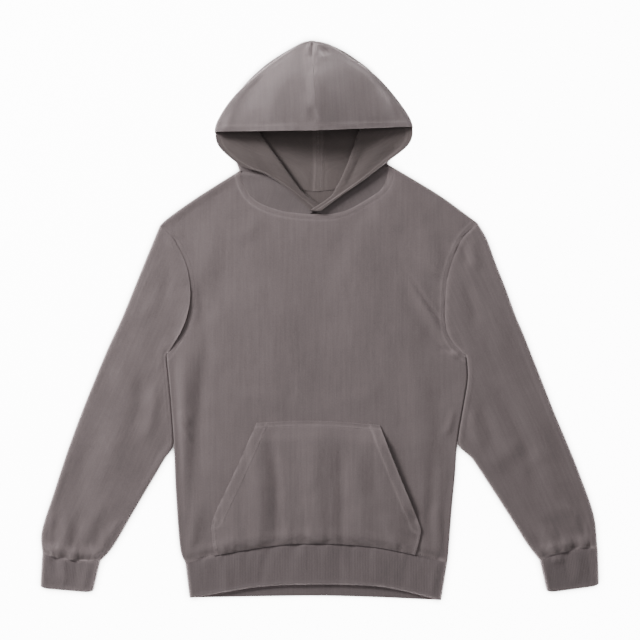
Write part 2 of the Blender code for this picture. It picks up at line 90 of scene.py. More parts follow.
# Sleeve sections from armhole to cuff seam: x, y of the inner edge, then of the outer edge.
SLEEVE = {
    "left": [(-249, -56, -260, 153), (-249, -62, -272, 124), (-248, -73, -286, 90),
             (-247, -92, -303, 48), (-244, -124, -321, 4), (-241, -160, -334, -24),
             (-241, -200, -346, -50), (-261, -238, -366, -98), (-284, -277, -388, -153),
             (-308, -318, -410, -213), (-331, -358, -432, -280), (-345, -378, -452, -344),
             (-359, -392, -451, -381)],
    "right": [(237, -59, 256, 157), (238, -65, 271, 131), (238, -76, 285, 93), (239, -94, 302, 50),
              (235, -125, 318, 6), (229, -158, 330, -22), (226, -193, 341, -50),
              (252, -230, 360, -98), (275, -265, 380, -149), (297, -299, 401, -199),
              (318, -332, 423, -254), (338, -364, 445, -318), (359, -391, 451, -372)],
}
CUFF_SEAM_BOW = {"left": (0, -5), "right": (2, 6)}
CUFF_END = {"left": (-371, -443, -454, -436), "right": (371, -443, 453, -432)}

# Kangaroo pocket: its corners and edges, (x, y) in millimetres.
POCKET_TOP = [(-103, -167), (-2, -164), (97, -171)]
POCKET_LEFT = [(-172, -381), (-176, -350), (-173, -321), (-140, -250), (-103, -167)]
POCKET_RIGHT = [(155, -381), (163, -350), (160, -328), (128, -250), (97, -171)]

# Creases, in millimetres: from x, y to x, y, half width, height (below 0 for a trough) and how far
# the middle bows to the left of the way from start to end.
BODY_CREASES = [
    # x0,   y0,   x1,   y1, width, height, bow
    (-213, -52, -222, -270, 17, 3.9, 0),
    (-186, -58, -204, -268, 13, -2.1, -4),
    (150, -60, 178, -330, 23, 2.8, 5),
    (182, -215, 178, -338, 9, -1.9, 2),
    (154, 58, 238, -60, 11, 3.6, -6),
    (136, 44, 216, -62, 12, -1.6, -5),
    (152, 62, 240, -56, 4.5, -2.8, -3),
    (194, -47, 226, -52, 4, -1.5, 1),
    (214, -52, 226, -60, 5, 2.2, 0),
    (-118, 62, -58, -92, 40, 2.6, 12),
    (-150, 20, -96, -110, 26, -1.6, 8),
    (-206, 30, -232, -40, 8, -1.8, 3),
    (-224, -70, -222, -150, 8, 1.6, 0),
    (60, 120, 96, -20, 34, 1.8, -10),
    (-206, 60, -188, -10, 14, -1.8, 6),
    (-176, 150, -196, 60, 20, 1.6, 8),
    (176, 150, 194, 70, 18, 1.6, -6),
    (-40, 150, 36, 148, 22, 1.0, -8),
    (-96, 170, -140, 130, 14, 1.4, 6),
    (86, 184, 128, 146, 13, 1.5, -5),
    (-20, 60, 30, -110, 30, -1.4, 6),
    (-232, -150, -212, -170, 6, 2.0, 2),
    (-233, -158, -210, -196, 5, 1.6, 0),
    (218, -150, 202, -186, 7, 1.6, 3),
    (-200, -300, -212, -372, 10, 2.0, 3),
    (190, -300, 196, -376, 9, 1.8, -3),
    (-130, -120, -60, -146, 14, 1.2, 6),
    (30, -130, 92, -120, 16, 1.1, -5),
]
POCKET_CREASES = [
    (-107, -178, -98, -372, 17, 3.4, 5),
    (-80, -186, -70, -368, 9, -2.1, 4),
    (-8, -182, 4, -366, 22, 3.4, -5),
    (32, -196, 34, -366, 10, -1.8, 3),
    (60, -210, 66, -360, 16, 1.8, 4),
    (98, -200, 118, -300, 14, 1.5, -5),
    (-140, -290, -128, -372, 14, 1.6, -3),
    (100, -320, 128, -372, 12, 1.8, 4),
    (-52, -330, -50, -372, 7, 1.2, 0),
]
SLEEVE_CREASES = {
    "left": [
        (-268, -110, -282, -190, 10, 3.4, 3),
        (-290, -96, -306, -178, 11, -2.4, 4),
        (-278, -150, -330, -80, 20, 3.0, 8),
        (-256, 40, -292, 8, 12, 1.6, 4),
        (-246, 84, -262, 20, 10, -1.4, 4),
        (-330, -150, -352, -260, 22, 2.4, 8),
        (-368, -190, -392, -290, 14, -1.8, -6),
        (-360, -300, -384, -362, 12, 2.6, 3),
        (-392, -316, -404, -376, 9, -2.2, 2),
        (-412, -320, -420, -378, 9, 2.4, 2),
        (-430, -330, -434, -376, 6, -1.8, 0),
        (-440, -310, -430, -356, 9, 1.8, -3),
        (-320, -330, -356, -372, 10, 1.8, -4),
        (-300, -246, -350, -190, 16, 1.6, 5),
        (-232, 112, -250, 136, 7, 1.2, 0),
        (-246, -30, -262, -80, 9, 1.9, 3),
        (-210, 40, -236, -42, 12, 2.6, 5),
        (-246, -70, -242, -170, 6, 1.6, 0),
    ],
    "right": [
        (320, -120, 398, -334, 21, 3.4, 10),
        (292, -110, 352, -270, 12, -2.2, 6),
        (262, 40, 300, -60, 16, 2.0, 6),
        (234, 70, 252, -10, 10, -1.6, 4),
        (232, 122, 240, 92, 6, -2.0, 0),
        (246, 126, 258, 84, 8, 1.8, -2),
        (371, -325, 419, -366, 12, -2.6, 4),
        (360, -340, 402, -384, 9, 2.6, -3),
        (386, -300, 428, -340, 12, 2.2, 5),
        (424, -318, 440, -366, 9, -1.6, -2),
        (432, -330, 446, -370, 7, 1.8, 0),
        (346, -352, 372, -386, 7, -1.6, 0),
        (270, -240, 330, -190, 15, 1.7, -5),
        (248, -150, 262, -208, 9, 2.4, -3),
        (262, -140, 284, -206, 9, -1.6, 2),
        (330, -250, 372, -214, 13, 1.3, 5),
    ],
}
BAND_CREASES = [
    (-160, -398, -150, -440, 9, 1.2, 2),
    (-90, -380, -96, -428, 7, -0.9, 2),
    (-34, -374, -36, -424, 11, 1.0, 0),
    (30, -376, 34, -426, 7, -0.9, 0),
    (88, -380, 92, -426, 9, 1.1, 2),
    (140, -392, 136, -436, 8, -0.8, 0),
    (188, -400, 182, -444, 5, 1.2, 0),
]
CUFF_CREASES = {
    "left": [
        (-420, -388, -414, -428, 6, 1.4, 1),
        (-398, -396, -396, -432, 6, -0.9, 0),
        (-436, -386, -428, -414, 5, -1.1, 0),
        (-378, -402, -384, -436, 6, 1.0, 0),
    ],
    "right": [
        (376, -394, 396, -392, 6, 1.6, 3),
        (398, -388, 404, -426, 7, -0.8, 0),
        (420, -380, 418, -424, 7, 1.0, 2),
        (438, -380, 440, -420, 5, -0.8, 0),
    ],
}
FLAP_CREASES = [
    (-26, 436, -24, 360, 11, -1.2, 2),
    (-50, 410, -78, 330, 18, 2.0, -5),
    (-96, 396, -128, 320, 14, -1.4, -4),
    (-120, 346, -60, 322, 12, 1.2, 3),
    (-148, 336, -150, 308, 8, 1.2, 0),
    (-13, 452, -13, 426, 3, -2.4, 0),
    (-6, 450, -7, 430, 4, 1.8, 0),
    (-20, 448, -20, 430, 4, 1.6, 0),
    (2, 432, 12, 438, 8, -2.0, 0),
    (-4, 420, 16, 430, 7, 1.8, 2),
    (14, 420, -2, 312, 20, 3.4, -5),
    (-6, 322, -12, 342, 7, -2.2, 2),
    (36, 404, 60, 330, 22, -1.6, 6),
    (96, 370, 92, 318, 12, 3.0, 3),
    (112, 372, 124, 322, 8, -1.4, 2),
    (132, 346, 142, 314, 8, 1.4, 0),
]
LAPEL_CREASES = {
    "left": [
        (-118, 286, -60, 210, 11, -1.8, 4),
        (-140, 272, -88, 236, 8, 1.6, 3),
        (-70, 222, -34, 188, 7, 1.4, -2),
    ],
    "right": [
        (112, 290, 58, 216, 12, 1.8, -6),
        (90, 296, 44, 226, 9, -1.8, -3),
        (48, 212, 14, 184, 6, 1.4, 2),
        (128, 286, 100, 258, 8, -1.2, 0),
    ],
}

# Hood sections from peak to throat. The centre seam passes (x, y) at height z on the flap, and (x, y)
# on the back layer. Each half then folds at its side, at an inner fold and at an outer fold: x, y and
# the heights of the layers above and below. From the brow row on, the side column is the free edge.
HOOD_SEAM = [
    # row         flap x, y, z     back x, y
    ("peak", -14, 454, 8.6, -14, 454),
    ("tip", -13, 443, 15.5, -13, 441),
    ("crown", -12, 421, 26.5, -11, 407),
    ("apex", -10, 390, 39.0, -7, 362),
    ("temple", -7, 351, 46.0, -4, 325),
    ("brow", -6, 305, 48.0, -3, 294),
    ("cheek", 0, 0, 0, -3, 272),
    ("notch", 0, 0, 0, -2, 249),
    ("shoulder", 0, 0, 0, -4, 209),
]
HOOD_HALF = {
    "left": [
        # side x, y, over, under; inner x, y, over, under; outer x, y, over
        (-15, 453.8, 8.6, 7.4, -15, 454, 6.2, 5.0, -15, 453.8, 3.6),
        (-35, 446, 9.8, 8.3, -36, 447, 6.9, 5.5, -35, 446, 3.8),
        (-88, 409, 15.0, 11.0, -92, 411, 8.6, 6.8, -88, 409, 4.4),
        (-136, 366, 19.0, 12.5, -133, 364, 10.4, 7.8, -134, 364, 5.2),
        (-162, 330, 23.0, 12.2, -116, 326, 11.0, 7.2, -152, 328, 5.4),
        (-170, 305, 26.0, 12.0, -99, 305, 11.2, 7.2, -151, 296, 5.4),
        (-163, 280, 18.0, 12.6, -81, 279, 11.2, 7.3, -145, 276, 5.2),
        (-130, 252, 18.0, 12.6, -62, 253, 11.2, 7.4, -135, 256, 5.0),
        (-96, 240, 18.0, 13.0, -45, 229, 11.0, 7.4, -130, 243, 4.4),
        (-82, 233, 0.0, 13.0, -39, 221, 10.4, 7.0, 0, 0, 0),
        (-54, 214, 0.0, 10.8, -26, 206, 8.8, 5.8, 0, 0, 0),
        (-17, 179, 0.0, 7.5, 1, 186, 7.2, 4.6, 0, 0, 0),
    ],
    "right": [
        (-13, 453.8, 8.6, 7.4, -13, 454, 6.2, 5.0, -13, 453.8, 3.6),
        (13, 447, 9.8, 8.3, 14, 448, 6.9, 5.5, 13, 447, 3.8),
        (50, 424, 12.4, 10.6, 53, 427, 8.6, 6.8, 50, 424, 4.4),
        (93, 394, 14.0, 11.8, 90, 392, 10.4, 7.8, 91, 392, 5.2),
        (133, 347, 15.5, 12.6, 80, 343, 11.0, 7.4, 122, 343, 5.4),
        (150, 314, 17.0, 13.0, 64, 308, 11.6, 7.6, 132, 302, 5.4),
        (144, 285, 18.0, 14.0, 55, 281, 11.9, 7.9, 126, 280, 5.2),
        (108, 256, 18.0, 14.0, 45, 253, 12.2, 8.2, 110, 259, 5.0),
        (83, 236, 18.0, 14.0, 34, 227, 12.0, 8.2, 110, 253, 4.4),
        (67, 224, 0.0, 14.0, 28, 217, 12.0, 8.2, 0, 0, 0),
        (42, 207, 0.0, 13.6, 17, 200, 12.2, 8.8, 0, 0, 0),
        (1, 177, 0.0, 12.8, -15, 178, 12.4, 9.6, 0, 0, 0),
    ],
}
BROW = 5  # the row whose flap ends in the free edge
SHOULDER_ROW = 8  # the row that ends on the back neck
HOOD_ROUND = 5.0 * MM
RIDGE = 0.14  # share of the flap's half width over which its ridge is rounded
OUTWARD = {"left": -1, "right": 1}

# Stage.
FLOOR_HALF = 6.0
FLOOR_DROP = 0.2 * MM
FLOOR_GLOW = 12.0
SKY_STRENGTH = 0.29
LENS = 135.0  # focal length in millimetres
FILM = 36.0  # width of the camera's film in millimetres
FRAMED = 1.043  # width of floor that the camera takes in
LIGHTS = [
    # name, place, size, power
    ("key light", (-1.85, 1.45, 1.25), 0.8, 109.0),
    ("top light", (-0.6, 0.9, 3.0), 1.4, 12.0),
]


class HoodieSettings(bpy.types.PropertyGroup):
    """Colours, thickness and how strongly the cloth is creased."""

    cloth_colour: bpy.props.FloatVectorProperty(
        name="Fleece", description="Colour of the body, sleeves and pocket", subtype="COLOR",
        size=3, min=0, max=1, default=(0.176, 0.143, 0.144))
    hood_colour: bpy.props.FloatVectorProperty(
        name="Hood", description="Colour of the hood's fleece", subtype="COLOR",
        size=3, min=0, max=1, default=(0.153, 0.126, 0.127))
    rib_colour: bpy.props.FloatVectorProperty(
        name="Rib", description="Colour of the hem band and cuffs", subtype="COLOR",
        size=3, min=0, max=1, default=(0.157, 0.128, 0.130))
    # Darker than the outer fleece: partly the inner face's own tone, partly painted shade for the shaded
    # hollow of the hood.
    inside_colour_with_painted_shade: bpy.props.FloatVectorProperty(
        name="Inside", description="Colour of the fleece's brushed inner face", subtype="COLOR",
        size=3, min=0, max=1, default=(0.128, 0.104, 0.101))
    thread_colour: bpy.props.FloatVectorProperty(
        name="Thread", description="Colour of the topstitching", subtype="COLOR",
        size=3, min=0, max=1, default=(0.205, 0.172, 0.172))
    floor_colour: bpy.props.FloatVectorProperty(
        name="Floor", description="Colour of the surface under the garment", subtype="COLOR",
        size=3, min=0, max=1, default=(0.9, 0.9, 0.9))
    wall: bpy.props.FloatProperty(
        name="Fleece thickness", description="Thickness of the fleece", unit="LENGTH",
        min=0.001, max=0.004, default=0.002)
    rib_wall: bpy.props.FloatProperty(
        name="Rib thickness", description="Thickness of the doubled hem band and cuffs",
        unit="LENGTH", min=0.001, max=0.005, default=0.0026)
    grid: bpy.props.FloatProperty(
        name="Mesh spacing", description="Distance between the points of a cloth mesh",
        unit="LENGTH", min=0.0015, max=0.02, default=0.003)
    creases: bpy.props.FloatProperty(
        name="Creases", description="Height of the creases, as a share of their tables",
        min=0, max=2, default=1.0, subtype="FACTOR")
    rumple: bpy.props.FloatProperty(
        name="Rumple", description="Height of the soft unevenness between the creases",
        unit="LENGTH", min=0, max=0.003, default=0.0011)
    pucker: bpy.props.FloatProperty(
        name="Pucker", description="Height of the gathers along the seams", unit="LENGTH",
        min=0, max=0.004, default=0.0011)
    stitch_pitch: bpy.props.FloatProperty(
        name="Stitch pitch", description="Distance from one stitch to the next", unit="LENGTH",
        min=0.001, max=0.01, default=0.0032)
    stitch_width: bpy.props.FloatProperty(
        name="Thread width", description="Width of a stitch's thread", unit="LENGTH",
        min=0.0002, max=0.002, default=0.0007)


def smooth_rows(table, steps):
    """Rows added between a table's rows, on a Catmull-Rom curve through them."""
    rows = np.asarray(table, float)
    before = np.vstack([2 * rows[0] - rows[1], rows[:-1]])
    after = np.vstack([rows[1:], 2 * rows[-1] - rows[-2]])
    slope = (after - before) / 2
    t = np.arange(steps)[None, :, None] / steps
    p0, p1, m0, m1 = rows[:-1, None], rows[1:, None], slope[:-1, None], slope[1:, None]
    curve = (
        (2 * t**3 - 3 * t**2 + 1) * p0
        + (t**3 - 2 * t**2 + t) * m0
        + (3 * t**2 - 2 * t**3) * p1
        + (t**3 - t**2) * m1
    )
    return np.vstack([curve.reshape(-1, rows.shape[1]), rows[-1]])


def lengths(points):
    """Run of length along a line of points, from 0 at its start."""
    return np.concatenate([[0], np.cumsum(np.linalg.norm(np.diff(points, axis=0), axis=1))])


def on_curve(points, shares):
    """The points at these shares of the length of a smooth curve through a table, in metres."""
    fine = smooth_rows(points, 24) * MM
    run = lengths(fine)
    return np.stack([np.interp(shares * run[-1], run, fine[:, k]) for k in range(fine.shape[1])], 1)


def length_of(points):
    """Length in metres of the smooth curve through a table in millimetres."""
    return lengths(smooth_rows(points, 24) * MM)[-1]


def even(steps):
    """Shares from 0 to 1 in equal steps."""
    return np.linspace(0, 1, steps + 1)


def rolled(total, steps, ends=(True, True)):
    """Shares of a line of that length: even steps, and close ones in the roll at each end asked for."""
    roll = np.array([0, 0.08, 0.29, 0.6, 1]) * ROLL / total
    first = roll[:-1] if ends[0] else np.empty(0)
    last = 1 - roll[-2::-1] if ends[1] else np.empty(0)
    start, stop = (roll[-1] if ends[0] else 0), (1 - roll[-1] if ends[1] else 1)
    return np.concatenate([first, np.linspace(start, stop, steps + 1), last])


def steps_for(total, grid):
    """How many steps of about the grid size make up a length, at least 4."""
    return max(4, int(round(total / grid)))


def distance(plan, lines):
    """How far each plan point is from the nearest of these lines."""
    found = np.full(plan.shape[:-1], np.inf)
    for line in lines:
        a, b = line[:-1], line[1:]
        step = b - a
        away = plan[..., None, :] - a
        share = np.clip((away * step).sum(-1) / (step**2).sum(-1), 0, 1)
        near = np.linalg.norm(away - share[..., None] * step, axis=-1).min(-1)
        found = np.minimum(found, near)
    return found


def roll_rise(edge):
    """How far a layer has climbed off the roll's middle, at a distance from the side."""
    inside = 1 - np.clip(edge / ROLL, 0, 1)
    return ROLL * np.sqrt(1 - inside**2)


def smooth_step(value, low, high):
    """0 below low and 1 above high, with 3 t^2 - 2 t^3 between them."""
    t = np.clip((value - low) / (high - low), 0, 1)
    return t * t * (3 - 2 * t)


def creases(plan, table):
    """Sum of creases h exp(-(d / w)^2) exp(-(2 s - 1)^4), d across the bowed line and s along it."""
    total = np.zeros(plan.shape[:-1])
    for x0, y0, x1, y1, width, height, bow in table:
        start, end = np.array([x0, y0]) * MM, np.array([x1, y1]) * MM
        line = end - start
        away = plan - start
        share = (away @ line) / (line @ line)
        across = (away[..., 1] * line[0] - away[..., 0] * line[1]) / np.linalg.norm(line)
        across = across - bow * MM * (1 - (2 * np.clip(share, 0, 1) - 1) ** 2)
        fade = np.exp(-((2 * share - 1) ** 4))
        total += height * MM * np.exp(-((across / (width * MM)) ** 2)) * fade
    return total


def noise(x, y, seed):
    """Smooth noise from -1 to 1 with one bump per unit of x and y."""
    table = np.random.default_rng(seed).uniform(-1, 1, (64, 64))
    i, j = np.floor(x).astype(int), np.floor(y).astype(int)
    u, v = x - i, y - j
    u, v = (t**3 * (t * (6 * t - 15) + 10) for t in (u, v))
    i, j, n, m = i % 64, j % 64, (i + 1) % 64, (j + 1) % 64
    return (table[i, j] * (1 - u) + table[n, j] * u) * (1 - v) + (
        table[i, m] * (1 - u) + table[n, m] * u
    ) * v


def rumple(plan, seed, turn=0.0):
    """Three sizes of noise, 62, 27 and 11 mm, a little longer one way than across it."""
    c, s = np.cos(turn), np.sin(turn)
    x = plan[..., 0] * c + plan[..., 1] * s
    y = plan[..., 1] * c - plan[..., 0] * s
    total = np.zeros(plan.shape[:-1])
    for size, stretch, share in ((62, 1.7, 1.0), (27, 1.9, 0.42), (11, 1.5, 0.12)):
        total += share * noise(x / (size * MM), y / (size * stretch * MM), seed + size)
    return total


def gathers(edge, along, reach, seed):
    """Gathers square to a seam: noise of 13 and 6.5 mm along it that dies out away from it."""
    near = np.exp(-edge / reach) * smooth_step(edge, 0, 2.5 * MM)
    return near * (
        noise(along / (13 * MM), edge / (60 * MM), seed)
        + 0.5 * noise(along / (6.5 * MM), edge / (30 * MM), seed + 1)
    )


def welt(edge, width, rise, stitches=()):
    """Relief of a seam: a raised allowance as wide as width, with a groove along each stitch line."""
    relief = rise * (1 - smooth_step(edge, width - 1.6 * MM, width + 1.6 * MM))
    relief -= 0.55 * MM * np.exp(-((edge / (1.3 * MM)) ** 2))
    for at in stitches:
        relief -= 0.3 * MM * np.exp(-(((edge - at) / (1.1 * MM)) ** 2))
    return relief


def seam_shows(plan):
    """How far an armhole's seam stands out: all along at +X, and only low down at -X."""
    low = 1 - smooth_step(plan[..., 1], 0.0, 0.06)
    return np.where(plan[..., 0] > 0, 0.8, 0.1 + 0.8 * low)


def side_line(side, steps=24):
    """The body's silhouette on one side, below the armhole."""
    return on_curve(SIDE[side], even(steps))


def body_edges():
    """The body's silhouette: below the armholes, and over the shoulders."""
    found = []
    for side in ("left", "right"):
        found += [side_line(side, 60), on_curve(SHOULDER[side], even(30))]
    return found


def neck_line(steps=24):
    """The front neck seam as one line, from the left shoulder to the right."""
    left, right = (on_curve(NECK_FRONT[side], even(steps)) for side in ("left", "right"))
    return [np.vstack([left, right[::-1]])]


def raised(plan, height):
    """Plan points with their heights as the third coordinate."""
    return np.concatenate([plan, height[..., None]], axis=-1)


def coons(bottom, top, left, right):
    """A patch between four edges, as a grid of rows from bottom to top."""
    u = (lengths(bottom) / lengths(bottom)[-1] + lengths(top) / lengths(top)[-1]) / 2
    v = (lengths(left) / lengths(left)[-1] + lengths(right) / lengths(right)[-1]) / 2
    u, v = u[None, :, None], v[:, None, None]
    ruled = (1 - v) * bottom[None] + v * top[None] + (1 - u) * left[:, None] + u * right[:, None]
    corners = (
        (1 - v) * ((1 - u) * bottom[0] + u * bottom[-1])
        + v * ((1 - u) * top[0] + u * top[-1])
    )
    return ruled - corners


def grid_faces(rows, columns, closed=False):
    """Quads of a grid, whose last column joins its first where it is closed."""
    i, j = np.meshgrid(np.arange(rows - 1), np.arange(columns - (not closed)), indexing="ij")
    n = (j + 1) % columns
    quads = np.stack([i * columns + j, i * columns + n, (i + 1) * columns + n, (i + 1) * columns + j], -1)
    return quads.reshape(-1, 4)


def mesh_object(name, points, faces, cloth):
    """A mesh from whole arrays of points and of faces with the same number of corners."""
    mesh = bpy.data.meshes.new(name)
    mesh.vertices.add(len(points))
    mesh.vertices.foreach_set("co", np.ascontiguousarray(points, np.float32).ravel())
    corners = faces.shape[1]
    mesh.loops.add(faces.size)
    mesh.loops.foreach_set("vertex_index", np.ascontiguousarray(faces, np.int32).ravel())
    mesh.polygons.add(len(faces))
    mesh.polygons.foreach_set("loop_start", np.arange(0, faces.size, corners, dtype=np.int32))
    mesh.update(calc_edges=True)
    mesh.validate()
    mesh.shade_smooth()
    mesh.materials.append(cloth)
    obj = bpy.data.objects.new(name, mesh)
    bpy.context.scene.collection.objects.link(obj)
    return obj


def sheet_object(name, points, faces, cloth, wall, flat_map, worn, inner=None):
    """A cloth piece: its mid-surface with a wall, half to each side, its cloth map and its wear."""
    shape = points.shape[:-1]
    used, index = np.unique(faces, return_inverse=True)
    obj = mesh_object(name, points.reshape(-1, 3)[used], index.reshape(faces.shape), cloth)
    mesh = obj.data
    corner = np.empty(len(mesh.loops), np.int32)
    mesh.loops.foreach_get("vertex_index", corner)
    flat = flat_map.reshape(-1, 2)[used]
    layer = mesh.uv_layers.new(name="cloth")
    layer.uv.foreach_set("vector", np.ascontiguousarray(flat[corner], np.float32).ravel())
    wear = mesh.attributes.new("worn", "FLOAT", "POINT")
    level = np.broadcast_to(worn, shape).reshape(-1)[used]
    wear.data.foreach_set("value", np.ascontiguousarray(level, np.float32))
    edge = np.empty(len(mesh.loops), np.int32)
    mesh.loops.foreach_get("edge_index", edge)
    rim = np.bincount(edge, minlength=len(mesh.edges)) == 1
    sharp = mesh.attributes.new("sharp_edge", "BOOLEAN", "EDGE")
    sharp.data.foreach_set("value", rim)
    solidify = obj.modifiers.new("wall", "SOLIDIFY")
    solidify.thickness = wall
    solidify.offset = 0.0
    solidify.use_even_offset = False
    # The inner side takes the inside material, whose darker colour is partly painted shade.
    if inner:
        mesh.materials.append(inner)
        solidify.material_offset = 1
    return obj


def turned(plan, angle):
    """Plan coordinates turned so that the second runs along a piece."""
    c, s = np.cos(angle), np.sin(angle)
    return np.stack([plan[..., 0] * c + plan[..., 1] * s, plan[..., 1] * c - plan[..., 0] * s], -1)


def pulled_in(line, towards, gap=SEAM_GAP):
    """A seam edge moved off its seam, towards the next row of its own piece."""
    step = towards - line
    return line + gap * step / np.linalg.norm(step, axis=-1, keepdims=True)


def unit(vectors):
    """Vectors scaled to length 1."""
    return vectors / np.linalg.norm(vectors, axis=-1, keepdims=True)


def seam_lift(edge, wall):
    """Front and back part by this much at the side and shoulder seams, for the wall and gap."""
    return (wall + SEAM_GAP) / 2 * np.clip(1 - edge / ROLL, 0, 1)


def top_rest(edge, wall, puff):
    """Middle of a top layer: up round the side roll, down to its rest, and puffed in the middle."""
    middle, rest = wall / 2 + ROLL, 2.1 * wall
    settled = rest + (middle + ROLL - rest) * np.exp(-np.maximum(edge - ROLL, 0) / SETTLE)
    settled += puff * (1 - np.exp(-np.maximum(edge - ROLL, 0) / (40 * MM)))
    return np.where(edge < ROLL, middle + roll_rise(edge), settled)


def low_rest(edge, wall):
    """Middle of a layer that lies on the surface and turns up at the sides."""
    middle = wall / 2 + ROLL
    return middle - roll_rise(edge) * (middle - wall / 2) / ROLL


def front_height(plan, settings, parting=True):
    """Middle of the front panel over its plan: rest, creases, rumple, hem gathers and seam relief."""
    edge = distance(plan, body_edges())
    armhole = distance(plan, [on_curve(ARMHOLE[side], even(24)) for side in ("left", "right")])
    neck = distance(plan, neck_line())
    hem = distance(plan, [on_curve(HEM_FRONT, even(40))])
    seam = np.minimum(np.minimum(armhole, neck), hem)
    height = top_rest(edge, settings.wall, 2.2 * MM)
    height -= 0.9 * MM * np.exp(-np.minimum(neck, hem) / (14 * MM)) * smooth_step(edge, ROLL, 16 * MM)
    height -= 0.4 * MM * seam_shows(plan) * np.exp(-armhole / (7 * MM)) * smooth_step(edge, ROLL, 16 * MM)
    inside = smooth_step(edge, ROLL, 15 * MM)
    soft = smooth_step(seam, 0, 22 * MM) * inside
    height += settings.creases * creases(plan, BODY_CREASES) * (0.35 + 0.65 * soft) * inside
    height += settings.rumple * rumple(plan, 11) * soft
    height += settings.pucker * 1.1 * gathers(hem, plan[..., 0], 20 * MM, 21) * inside
    height += settings.pucker * 0.5 * gathers(neck, plan[..., 0] + plan[..., 1], 12 * MM, 25)
    height += settings.pucker * 0.5 * gathers(armhole, plan[..., 1], 14 * MM, 27)
    height += 1.6 * MM * np.exp(-(((hem - 13 * MM) / (8 * MM)) ** 2)) * inside
    height += seam_shows(plan) * welt(armhole, 8 * MM, 0.4 * MM, (6.5 * MM,)) * inside
    height += welt(neck, 9 * MM, 0.6 * MM, (2.2 * MM, 7.6 * MM))
    height += welt(hem, 5 * MM, 0.3 * MM, (3.4 * MM,)) * inside
    height = np.where(edge > ROLL, np.maximum(height, 1.62 * settings.wall), height)
    return height + (seam_lift(edge, settings.wall) if parting else 0)


def panel_plan(bottom_table, neck_table, grid):
    """The plan grid of a body panel, from hem to shoulders and neck."""
    sides = []
    tops = []
    for side in ("left", "right"):
        low_steps = steps_for(length_of(SIDE["left"]), grid)
        arm_steps = steps_for(length_of(ARMHOLE["left"]), grid)
        low = on_curve(SIDE[side], even(low_steps))
        arm = on_curve(ARMHOLE[side], rolled(length_of(ARMHOLE[side]), arm_steps))
        sides.append(np.vstack([low[:-1], arm]))
        over_steps = steps_for(length_of(SHOULDER["left"]), grid)
        neck_steps = steps_for(length_of(neck_table["left"]), grid)
        over = on_curve(SHOULDER[side], rolled(length_of(SHOULDER[side]), over_steps, (True, False)))
        tops.append(np.vstack([over[:-1], on_curve(neck_table[side], even(neck_steps))]))
    left_top, right_top = tops
    joined = np.allclose(left_top[-1], right_top[-1])
    top = np.vstack([left_top[:-1] if joined else left_top, right_top[::-1]])
    bottom = on_curve(bottom_table, rolled(length_of(bottom_table), len(top) - 9))
    return relaxed(coons(bottom, top, *sides))


def relaxed(plan, rounds=120, kept=5):
    """Moves each point inside the grid to the mean of its neighbours, round after round."""
    plan = plan.copy()
    for _ in range(rounds):
        mean = (plan[:-2, 1:-1] + plan[2:, 1:-1] + plan[1:-1, :-2] + plan[1:-1, 2:]) / 4
        plan[1:-1, kept:-kept] = mean[:, kept - 1 : 1 - kept or None]
    return plan


def seam_wear(*edges):
    """How worn the cloth is: high on seams' raised edges, low elsewhere."""
    worn = 0.0
    for edge, width in edges:
        worn = worn + 0.8 * np.exp(-(((edge - width) / (2.2 * MM)) ** 2))
        worn = worn + 0.5 * np.exp(-((edge / (3.0 * MM)) ** 2))
    return np.clip(worn, 0, 1)


def make_front(settings, cloth):
    """z(x, y) = rest + creases + rumple + gathers + seam relief, on a patch between the outlines."""
    plan = panel_plan(HEM_FRONT, NECK_FRONT, settings.grid)
    height = front_height(plan, settings)
    armhole = distance(plan, [on_curve(ARMHOLE[side], even(24)) for side in ("left", "right")])
    neck = distance(plan, neck_line())
    hem = distance(plan, [on_curve(HEM_FRONT, even(40))])
    worn = seam_wear((neck, 9 * MM), (hem, 4 * MM)) + seam_shows(plan) * seam_wear((armhole, 8 * MM))
    faces = grid_faces(*plan.shape[:2])
    return sheet_object("front_panel", raised(plan, height), faces, cloth, settings.wall, plan, worn)


def make_back(settings, cloth, inner):
    """Flat on the surface at half its wall, turned up round the side roll; its hidden folds are low."""
    plan = panel_plan(HEM_BACK, NECK_BACK, 2 * settings.grid)
    edge = distance(plan, body_edges())
    height = np.maximum(low_rest(edge, settings.wall) - seam_lift(edge, settings.wall), settings.wall / 2)
    faces = grid_faces(*plan.shape[:2])[:, ::-1]
    worn = seam_wear((edge, 3 * MM))
    return sheet_object("back_panel", raised(plan, height), faces, cloth, settings.wall, plan, worn, inner)


def pocket_plan(grid):
    """The pocket's plan grid, whose base follows the hem seam."""
    rows, columns = steps_for(0.215, grid), steps_for(0.33, grid)
    hem = on_curve(HEM_FRONT, even(200))
    left, right = on_curve(POCKET_LEFT, even(rows)), on_curve(POCKET_RIGHT, even(rows))
    base_x = np.linspace(left[0, 0], right[0, 0], columns + 1)
    base = np.stack([base_x, np.interp(base_x, hem[:, 0], hem[:, 1]) + 0.6 * MM], 1)
    left[0], right[0] = base[0], base[-1]
    return coons(base, on_curve(POCKET_TOP, even(columns)), left, right)


def pocket_edges():
    """The pocket's edges: top, the two slanted mouths, the two sewn sides, and base."""
    top = on_curve(POCKET_TOP, even(12))
    left, right = on_curve(POCKET_LEFT, even(48)), on_curve(POCKET_RIGHT, even(48))
    mouth_left, mouth_right = left[left[:, 1] > -0.326], right[right[:, 1] > -0.332]
    sewn_left, sewn_right = left[left[:, 1] < -0.320], right[right[:, 1] < -0.326]
    return top, mouth_left, mouth_right, sewn_left, sewn_right


